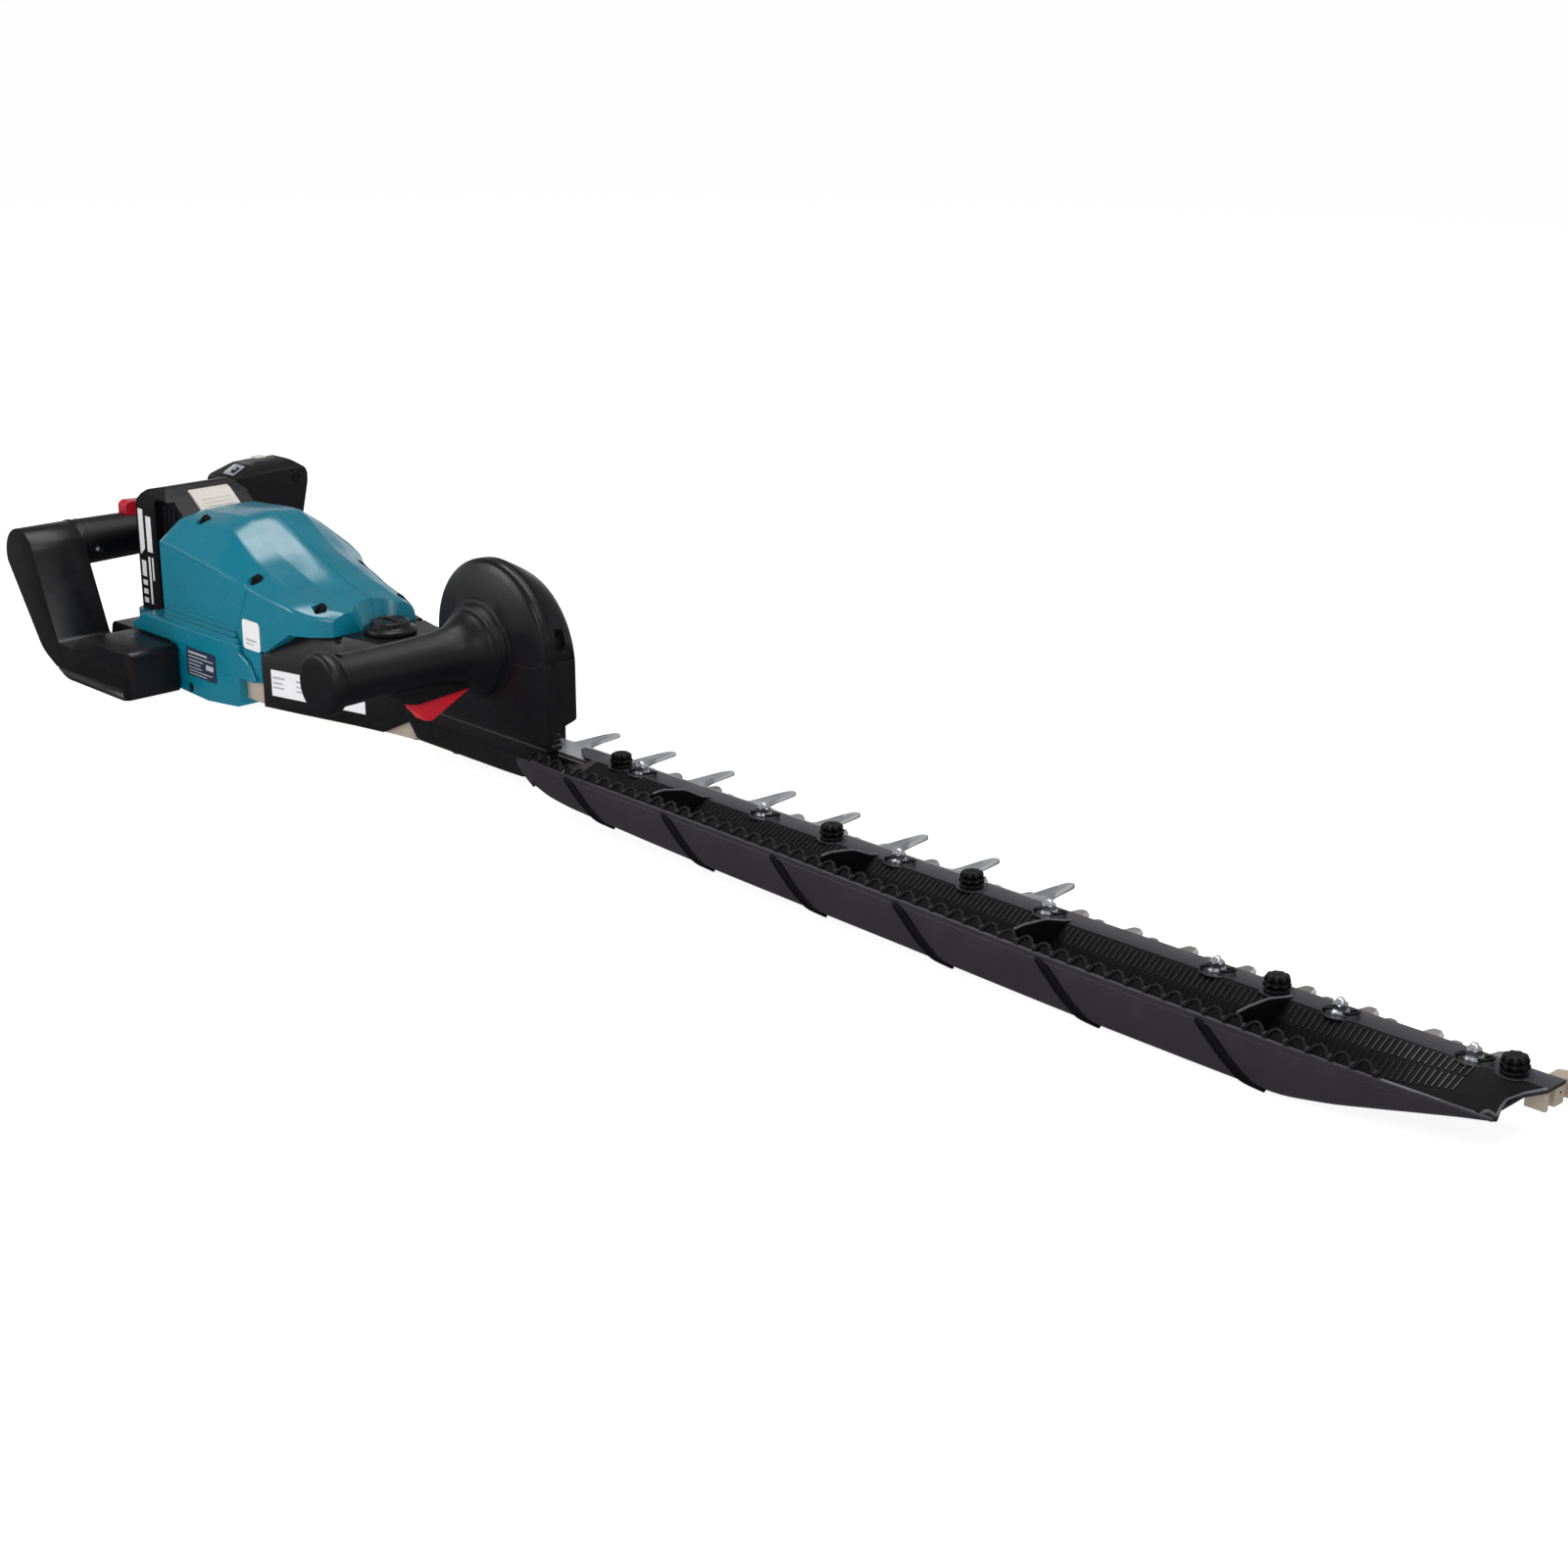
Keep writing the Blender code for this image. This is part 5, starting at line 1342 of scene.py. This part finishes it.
def housing():
    """Both clamshell halves, split along the middle, with their screws; the shoulder screws are near-black
    plugs filling their pits, painted shade in the holes.
    """
    shells = {False: [], True: []}
    for obj, width, segments in [(housing_body(), 1.1, 3)] + housing_extras():
        for far in (False, True):
            half = keep_side(copy_of(obj, "half"), 1, SEAM if far else -SEAM, far)
            if len(half.data.polygons) < 4:
                bpy.data.objects.remove(half, do_unlink=True)
                continue
            shells[far].append(soften(half, width, segments, 40))
        bpy.data.objects.remove(obj, do_unlink=True)
    for far in (False, True):
        out = 1.0 if far else -1.0
        for x, aside in SCREWS:
            y, z = slope_point(x, aside, out)
            head = [(0, -HOLE_DEEP), (HOLE_R, -HOLE_DEEP), (HOLE_R, SCREW_TOP), (1.9, SCREW_TOP),
                    (1.7, SOCKET_FLOOR), (0, SOCKET_FLOOR)]
            profile = [(r, out * along) for r, along in head]
            # near-black plug as wide as the pit, with a screw socket: painted shade in the screw hole
            screw = turned("screw", profile, (x, y, z), "Y", "shade_seam_and_screw_black", 40)
            shells[far].append(tilted(screw, y, z, HOLE_TILT * out))
        head = [(0, 0.0), (3.8, 0.0), (3.6, out * 0.8), (1.6, out * 0.8), (1.5, 0.0), (0, 0.0)]
        shells[far].append(turned("screw", head, (-445, out * 59.4, -23), "Y", "satin_black", 32))
    piece(shells[False], "housing_near_shown", "frame", "housing_near_shell")
    piece(shells[True], "housing_far_shown", "frame", "housing_far_shell")


def bars(rows, y, thick, look):
    """Plain bars standing in for lines of print on a plate that faces -Y."""
    return [soften(block("bar", (x0, y, z0), (x1, y + thick, z1), look), 0.03, 1) for x0, x1, z0, z1 in rows]


def housing_plates():
    """The rating plate and the side tag, blank but for plain bars."""
    plate = prism("plate", rounded(-447, -13, -407, 8.5, 1.5), "Y", -62.6, -62.0, "label_dark")
    rows = [(-444, -418, 4.6, 6.2), (-444, -410, 1.9, 2.7), (-444, -424, -1.0, -0.2),
            (-420, -410, -4.6, -0.6), (-444, -428, -3.8, -3.0), (-444, -426, -6.5, -5.8),
            (-444, -412, -9.0, -8.3), (-444, -420, -11.4, -10.7)]
    parts = [soften(plate, 0.15, 2)] + bars(rows, -62.68, 0.2, "label_mark")
    piece(parts, "rating_plate_shown", "frame", "rating_plate")
    tag = prism("tag", rounded(-369, 22.5, -347, 44.5, 3), "Y", -60.9, -60.2, "label_white")
    rows = [(-365, -351, 29.0, 30.6), (-365, -355, 26.4, 27.4)]
    parts = [soften(tag, 0.2, 2)] + bars(rows, -60.98, 0.2, "label_mark")
    piece(parts, "side_tag_shown", "frame", "side_label")


# ---------------------------------------------------------------- battery

BATTERY = tool_box("battery_case")


def battery():
    """Battery case, its label band, its release button and the terminals below it."""
    rear, front = BATTERY[0][0], BATTERY[1][0]
    half = 38.0
    side = fine([(rear, 11, 2), (front, 11, 2), (front, 92, 5), (-504, 108, 5), (-514, 114.5, 7),
                 (-534, 110.5, 8), (rear, 100, 9)], 8)
    case = prism("case", side, "Y", -half, half, "satin_black")
    slopes = [tool([(half + 1, 100), (half + 1, 130), (10, 130), (24, 115)], "X", rear - 5, front + 5),
              tool([(-half - 1, 106), (-half - 1, 130), (-20, 130), (-30, 115.5)], "X", rear - 5, front + 5)]
    recess = fine([(-519.5, 17, 2), (front + 5, 17, 0), (front + 5, 105, 0), (-519.5, 105, 5)])
    sides = [tool(recess, "Y", y0, y1) for y0, y1 in ((-50, -32), (32, 50))]
    seat = tool_block((-546, -50, 18), (-523, -half + 0.9, 96))
    well = [(-508.5, 130), (-479, 130), (-479, 87), (-508.5, 106.5)]
    pocket = tool(well, "Y", -16, 20)
    rails = [tool_block((-521.35, y0, 13), (-520.65, y1, 112)) for y0, y1 in ((-39, -37.3), (37.3, 39))]
    cut(case, *slopes, *sides, seat, pocket, *rails)
    parts = [soften(case, 1.5, 4, 45)]
    for sign in (-1, 1):
        for x, w in ((-513.0, 1.1), (-506.0, 0.8), (-499.0, 1.1)):
            low, high = sorted((sign * 31.5, sign * (33.4 if x != -506.0 else 32.8)))
            line = fine([(x - w, 20, 0.5), (x + w, 20, 0.5), (x + w - 0.3, 100, 0.5),
                         (x - w + 0.3, 100, 0.5)])
            parts.append(soften(prism("fin", line, "Y", low, high, "satin_black"), 0.5, 3))
    piece(parts, "battery_case_shown", "battery", "battery_case")
    y = -half
    band = block("band", (-545.5, y + 0.1, 18.5), (-523.5, y + 0.9, 95.5), "rubber_black")
    line = fine([(-545.2, 58, 0.5), (-538.4, 64, 0.5), (-538.4, 94.6, 0.6), (-545.2, 94.6, 0.6)])
    stripe = prism("stripe", line, "Y", y - 0.02, y + 0.3, "label_white")
    rows = [(-534.6, -527.2, 62, 90), (-534.6, -531.8, 20.5, 58), (-529.4, -527.2, 40, 58),
            (-544.6, -538.4, 20.5, 24.6), (-544.6, -538.4, 27.5, 31.6), (-544.6, -538.4, 34.5, 38.6),
            (-544.6, -538.4, 41.5, 54.0)]
    parts = [soften(band, 0.2, 1), soften(stripe, 0.05, 1)] + bars(rows, y - 0.02, 0.3, "label_white")
    piece(parts, "battery_band_shown", "battery", "battery_label")
    low, high = tool_box("battery_release_button")
    points = fine([(-508.2, 107, 0), (-484.4, 91.3, 0), (-484.4, 94.8, 1), (-488, 98, 3), (-503, 109.2, 3),
                   (-508.2, 111.3, 1)])
    button = prism("button", points, "Y", low[1], high[1], "pale_button")
    ribs = []
    for k in range(3):
        x = -490.5 - 3.0 * k
        z = 99.9 + 2.24 * k
        rib = block("rib", (x - 0.5, low[1] + 5, z - 0.6), (x + 0.5, high[1] - 5, z + 0.35), "pale_button")
        ribs.append(soften(rib, 0.3, 2))
    parts = [soften(button, 1.6, 5, 45)] + ribs
    piece(parts, "battery_button_shown", "battery_release", "battery_release_button")
    plate = soften(block("plate", (-538, -20, 8.7), (-500, 20, 10.7), "satin_black"), 0.4)
    tabs = [soften(block("tab", (-532, y - 0.5, 10.2), (-512, y + 0.5, 10.95), "zinc_plate"), 0.1, 1)
            for y in (-15, -5, 5, 15)]
    piece([plate] + tabs, "battery_terminals_shown", "frame", "battery_terminal_block")


# ---------------------------------------------------------------- rear handle

GRIP_X = middle("rear_grip", 0)
GRIP_Z = middle("rear_grip", 2)
GRIP_NEAR = tool_box("rear_grip")[0][1]
GRIP_FAR = tool_box("rear_grip")[1][1]
NEAR_ARM = tool_box("rear_handle_near_arm")


def elbow(cx, cz, radius, start, end, step=12.0):
    """Points along an arc between two angles in degrees."""
    count = max(1, round(abs(end - start) / step))
    angles = [math.radians(start + (end - start) * k / count) for k in range(count + 1)]
    return [(cx + radius * math.cos(angle), cz + radius * math.sin(angle)) for angle in angles]


def groove(points, axis, low, high, width):
    """A thin cutter that follows an open line."""
    left = []
    right = []
    for i, (u, v) in enumerate(points):
        a = points[max(0, i - 1)]
        b = points[min(len(points) - 1, i + 1)]
        length = math.dist(a, b)
        nu, nv = -(b[1] - a[1]) / length, (b[0] - a[0]) / length
        left.append((u + nu * width / 2, v + nv * width / 2))
        right.append((u - nu * width / 2, v - nv * width / 2))
    return tool(left + right[::-1], axis, low, high)


def near_arm():
    """The flat near arm of the rear loop, with its groove and the collar at the grip."""
    low, high = NEAR_ARM
    top = elbow(-604.8, 57.2, 22.0, 196, 8)
    inner = fine([top[-1] + (0,), (-556.5, -2.0, 5), (-536, -2.4, 3), (-521.5, 8.2, 3), (-457, 8.2, 5),
                  (-457, GROUND, 4), (-548, GROUND, 30), (-582, -12, 34), top[0] + (0,)], 8)
    outline = top + inner[1:-1]
    arm = prism("arm", outline, "Y", low[1], high[1], "satin_black")
    chamfer = tool([(-465.5, low[1] - 2), (-455, low[1] - 2), (-455, low[1] + 8.5)], "Z", GROUND - 5, 12)
    cut(arm, chamfer)
    soften(arm, 3.4, 6, 50)
    applied(arm)
    line = fine([(-630, 50, 0), (-604, -2, 30), (-574, -23.5, 30), (-548, -20.6, 12), (-440, -18.6, 0)], 8)
    cut(arm, groove(line, "Y", low[1] - 4, low[1] + 0.9, 0.9))
    band = [(17.0, -65.4), (20.6, -65.4), (21.3, -64.7), (21.3, -62.9), (20.7, -62.2), (17.0, -62.2)]
    collar = turned("collar", band, (-604.8, 0, 58.5), "Y", "satin_black", 72, closed=True)
    piece([arm, collar], "near_arm_shown", "frame", "rear_handle_near_arm")


def rear_grip():
    """The cross grip, with room for the trigger and the lock-off button."""
    y0, y1 = GRIP_NEAR, GRIP_FAR
    profile = [(0, y0), (17.4, y0), (18.0, y0 + 0.6), (18.1, y0 + 4), (17.9, -46), (17.6, -30), (17.3, -12),
               (17.0, 8), (16.7, 26), (16.8, 38), (17.2, y1), (0, y1)]
    grip = turned("grip", profile, (GRIP_X, 0, GRIP_Z), "Y", "grip_black", 96, sharp=50.0)
    pocket = tool_block((GRIP_X + 9, 0, 45), (GRIP_X + 30, 40, 69))
    well = tool_block((GRIP_X - 7, -19, 68), (GRIP_X + 7, 12, 90))
    sink = [(0, 8), (3.9, 8), (3.9, 30), (0, 30)]
    hole = turned("tool", sink, (GRIP_X, -50, GRIP_Z - 4), "X", "grip_black", 32)
    cut(grip, pocket, well, hole)
    profile = [(0, 10.0), (3.7, 10.0), (3.7, 13.6), (3.1, 14.2), (1.6, 14.2), (1.5, 12.8), (0, 12.8)]
    head = turned("head", profile, (GRIP_X, -50, GRIP_Z - 4), "X", "zinc_plate", 32)
    ridge = [(18.0, -57.9), (18.35, -57.5), (18.35, -57.0), (18.0, -56.6)]
    seam = turned("seam", ridge, (GRIP_X, 0, GRIP_Z), "Y", "grip_black", 96, closed=True)
    piece([soften(grip, 0.5, 2, 50), head, seam], "rear_grip_shown", "frame", "rear_grip")


PANEL_FOOT = (40.0, 107.5)
PANEL_HEAD = (57.0, 116.0)


def panel_z(y):
    """Height of the sloping top of the far arm."""
    rise = (PANEL_HEAD[1] - PANEL_FOOT[1]) / (PANEL_HEAD[0] - PANEL_FOOT[0])
    return PANEL_FOOT[1] + rise * (y - PANEL_FOOT[0])


def on_panel(y0, y1, x0, x1, low_by, high_by, look, radius=0.0):
    """A plate that lies on the sloping top of the far arm."""
    plan = rounded(x0, y0, x1, y1, radius)
    rings = [[(x, y, panel_z(y) + by) for x, y in plan] for by in (low_by, high_by)]
    return loft("plate", rings, look)


def far_arm():
    """The far arm, with the switch panel, the power button and the lamp pad on it."""
    side = fine([(-627, 70, 12), (-612, 82, 12), (-582, 91, 14), (-557, 117, 9), (-533, 119.5, 5),
                 (-529, 112, 7), (-531, 40, 0), (-515, GROUND, 6), (-553, GROUND, 14), (-580, -15, 14),
                 (-627, 56, 9)], 7)
    arm = prism("arm", side, "Y", 20, 112, "satin_black")
    low = GROUND - 5
    face = fine([(47, low, 0), (47, 96, 4), (40, 103, 3), (40, 107.5, 3), (57, 116, 8), (90, 118.7, 14),
                 (107, 108, 9), (107, 98, 9), (99, 60, 25), (95, low, 0)], 7)
    combine(arm, [prism("mask", face, "X", -650, -500, "satin_black")], "INTERSECT")
    soften(arm, 2.2, 4, 40)
    applied(arm)
    cut(arm, on_panel(44.6, 50.4, -543.4, -537.6, -3.5, 4.0, "satin_black"))
    head = [(0, -0.5), (4.4, -0.5), (4.4, 0.5), (3.8, 1.1), (1.9, 1.1), (1.7, 0.2), (0, 0.2)]
    screw = turned("screw", head, (-529.6, 96.5, 103), "X", "rubber_black", 32)
    piece([arm, screw], "far_arm_shown", "frame", "rear_handle_far_arm")
    panel = on_panel(42.5, 54.0, -551, -535.5, 0.5, 1.4, "panel_grey", 1.6)
    cut(panel, on_panel(44.6, 50.4, -543.4, -537.6, -3.5, 4.0, "panel_grey"))
    frame_line = on_panel(43.4, 53.2, -550, -545.6, 1.3, 1.55, "label_mark", 0.8)
    dome = [(0, 0), (0.8, 0), (0.7, 0.5), (0, 0.6)]
    lamps = [turned("lamp", dome, (-547.8, y, panel_z(y) + 1.3), "Z", "label_white", 20)
             for y in (45.6, 48.4, 51.2)]
    parts = [soften(panel, 0.3, 2), soften(frame_line, 0.08, 1)] + lamps
    piece(parts, "control_panel_shown", "frame", "control_panel")
    button = on_panel(45, 50, -543, -538, -1.5, 2.6, "satin_black", 1.6)
    ring = on_panel(46.2, 48.8, -541.8, -539.2, 2.5, 2.75, "label_mark", 1.2)
    parts = [soften(button, 0.5, 3), soften(ring, 0.05, 1)]
    piece(parts, "power_button_shown", "power_button", "power_button")
    low, high = tool_box("lamp_pad")
    pad = prism("pad", rounded(low[0], low[1], high[0], high[1], 2), "Z", low[2], high[2], "pale_button")
    piece(soften(pad, 0.15, 2), "lamp_pad_shown", "frame", "lamp_pad")


def cross_member():
    """The low bar that ties the two arms together."""
    outline = fine([(-560, -22, 10), (-553, 8.4, 5), (-470.5, 8.4, 0), (-470.5, GROUND, 4),
                    (-548, GROUND, 10)])
    bar = prism("bar", outline, "Y", -63.2, 46.7, "satin_black")
    piece(soften(bar, 1.0, 3), "rear_cross_shown", "frame", "rear_handle_cross")


def rear_switches():
    """The trigger under the grip and the lock-off button over it."""
    rear = GRIP_X + 12.5
    points = fine([(GRIP_X + 17, 49, 1.5), (GRIP_X + 20.5, 51, 2), (GRIP_X + 17.5, 65, 6),
                   (GRIP_X + 14, 68, 1), (rear, 68, 0), (rear, 49, 0)])
    trigger = prism("trigger", points, "Y", 1, 39, "signal_red")
    piece(soften(trigger, 0.9, 4), "rear_trigger_shown", "rear_trigger", "rear_trigger")
    outline = fine([(-18, 72, 0), (-18, 85.5, 2.5), (-14, 88, 2), (11, 86.5, 3), (11, 72, 0)])
    button = prism("button", outline, "X", GRIP_X - 6, GRIP_X + 6, "signal_red")
    ribs = []
    for y in (-12.0, -9.5, -7.0, -4.5):
        high = 88.0 - 0.06 * (y + 14)
        rib = block("rib", (GRIP_X - 4.6, y - 0.5, 86.0), (GRIP_X + 4.6, y + 0.5, high), "signal_red")
        ribs.append(soften(rib, 0.3, 2))
    piece([soften(button, 0.9, 4)] + ribs, "lock_off_shown", "lock_off", "lock_off_button")


# ---------------------------------------------------------------- setting

PAPER_GREY = (0.4, 0.4, 0.405, 1.0)
PAPER_GLOW = 0.9
FLOOR_HALF = 900.0
FLOOR_GAP = 0.0005
# (height in the surroundings from straight down, 0, to straight up, 1; brightness there)
SURROUNDINGS = [(0.0, 0.06), (0.40, 0.09), (0.488, 0.26), (0.4965, 0.96), (0.56, 0.6), (0.68, 0.22),
                (0.85, 0.17)]


def floor_look():
    """Pale paper that glows a little, so that it stays an even white."""
    made = bpy.data.materials.new("studio_paper")
    made.use_nodes = True
    shader = made.node_tree.nodes["Principled BSDF"]
    shader.inputs["Base Color"].default_value = PAPER_GREY
    shader.inputs["Roughness"].default_value = 0.9
    shader.inputs["Specular IOR Level"].default_value = 0.0
    shader.inputs["Emission Color"].default_value = (1.0, 1.0, 1.0, 1.0)
    shader.inputs["Emission Strength"].default_value = PAPER_GLOW
    return made


def studio():
    """The white floor and the grey surroundings that the plastics mirror."""
    mesh = bpy.data.meshes.new("floor")
    corners = [(u * FLOOR_HALF, v * FLOOR_HALF, 0.0) for u, v in ((-1, -1), (1, -1), (1, 1), (-1, 1))]
    mesh.from_pydata(corners, [], [(0, 1, 2, 3)])
    floor = bpy.data.objects.new("floor", mesh)
    floor.location.z = CAD_BOX[0][2] - FLOOR_GAP
    bpy.context.collection.objects.link(floor)
    mesh.materials.append(floor_look())
    floor.visible_glossy = False
    world = bpy.data.worlds.new("studio")
    bpy.context.scene.world = world
    world.use_nodes = True
    tree = world.node_tree
    place = tree.nodes.new("ShaderNodeTexCoord")
    split = tree.nodes.new("ShaderNodeSeparateXYZ")
    ramp = tree.nodes.new("ShaderNodeValToRGB")
    for at, _ in SURROUNDINGS[2:]:
        ramp.color_ramp.elements.new(at)
    for element, (at, level) in zip(ramp.color_ramp.elements, SURROUNDINGS):
        element.position = at
        element.color = (level, level, level * 1.01, 1.0)
    centred = tree.nodes.new("ShaderNodeMapRange")
    centred.inputs["From Min"].default_value = -1.0
    tree.links.new(place.outputs["Generated"], split.inputs["Vector"])
    tree.links.new(split.outputs["Z"], centred.inputs["Value"])
    tree.links.new(centred.outputs["Result"], ramp.inputs["Fac"])
    tree.links.new(ramp.outputs["Color"], tree.nodes["Background"].inputs["Color"])
    bpy.context.scene.view_settings.view_transform = "Standard"


def softbox(name, place, aim, width, height, power):
    """A rectangular area light turned towards a point; lengths in metres."""
    lamp = bpy.data.lights.new(name, "AREA")
    lamp.shape = "RECTANGLE"
    lamp.size = width
    lamp.size_y = height
    lamp.energy = power
    obj = bpy.data.objects.new(name, lamp)
    bpy.context.collection.objects.link(obj)
    obj.location = place
    obj.rotation_euler = (Vector(aim) - Vector(place)).to_track_quat("-Z", "Y").to_euler()


def lights():
    """One broad light overhead and three smaller ones."""
    softbox("overhead", (-0.2, 0.5, 1.8), (-0.1, 0.0, 0.0), 1.8, 0.7, 22.0)
    softbox("right_front", (1.3, 0.4, 1.5), (-0.2, 0.0, 0.05), 0.7, 0.7, 6.0)
    softbox("nose_fill", (0.9, -0.95, 1.0), (-0.28, 0.0, 0.05), 0.45, 0.45, 5.0)
    softbox("front_left", (-1.3, -1.7, 0.9), (-0.3, 0.0, 0.05), 1.2, 0.8, 15.0)


EYE = (1177.06, -1009.69, 507.11)
LENS = 58.11
SENSOR = 36.0


def camera():
    """The photograph's view: from ahead of the tip on the near side, 18 degrees down."""
    pitch = math.radians(18.3686)
    yaw = math.radians(44.0074)
    roll = math.radians(0.0912)
    heading = Vector((-math.cos(yaw), math.sin(yaw), 0.0))
    side = heading.cross(Vector((0, 0, 1)))
    forward = math.cos(pitch) * heading - math.sin(pitch) * Vector((0, 0, 1))
    up = math.sin(pitch) * heading + math.cos(pitch) * Vector((0, 0, 1))
    right = math.cos(roll) * side + math.sin(roll) * up
    top = -math.sin(roll) * side + math.cos(roll) * up
    lens = bpy.data.cameras.new("camera")
    lens.lens = LENS
    lens.sensor_width = SENSOR
    lens.clip_start = 0.01
    obj = bpy.data.objects.new("camera", lens)
    bpy.context.collection.objects.link(obj)
    matrix = obj.matrix_world.to_3x3()
    matrix.col[0] = right
    matrix.col[1] = top
    matrix.col[2] = -forward
    matrix = matrix.to_4x4()
    matrix.translation = (Vector(ORIGIN) + Vector(EYE)) * MM
    obj.matrix_world = matrix
    bpy.context.scene.camera = obj


make_looks()
blade_group()
guard_pieces()
front_grip()
front_lever()
base_carrier()
gear_case()
gear_cover()
cover_plate()
grease_cap()
drive_pieces()
housing()
housing_plates()
battery()
near_arm()
rear_grip()
far_arm()
cross_member()
rear_switches()
studio()
lights()
camera()
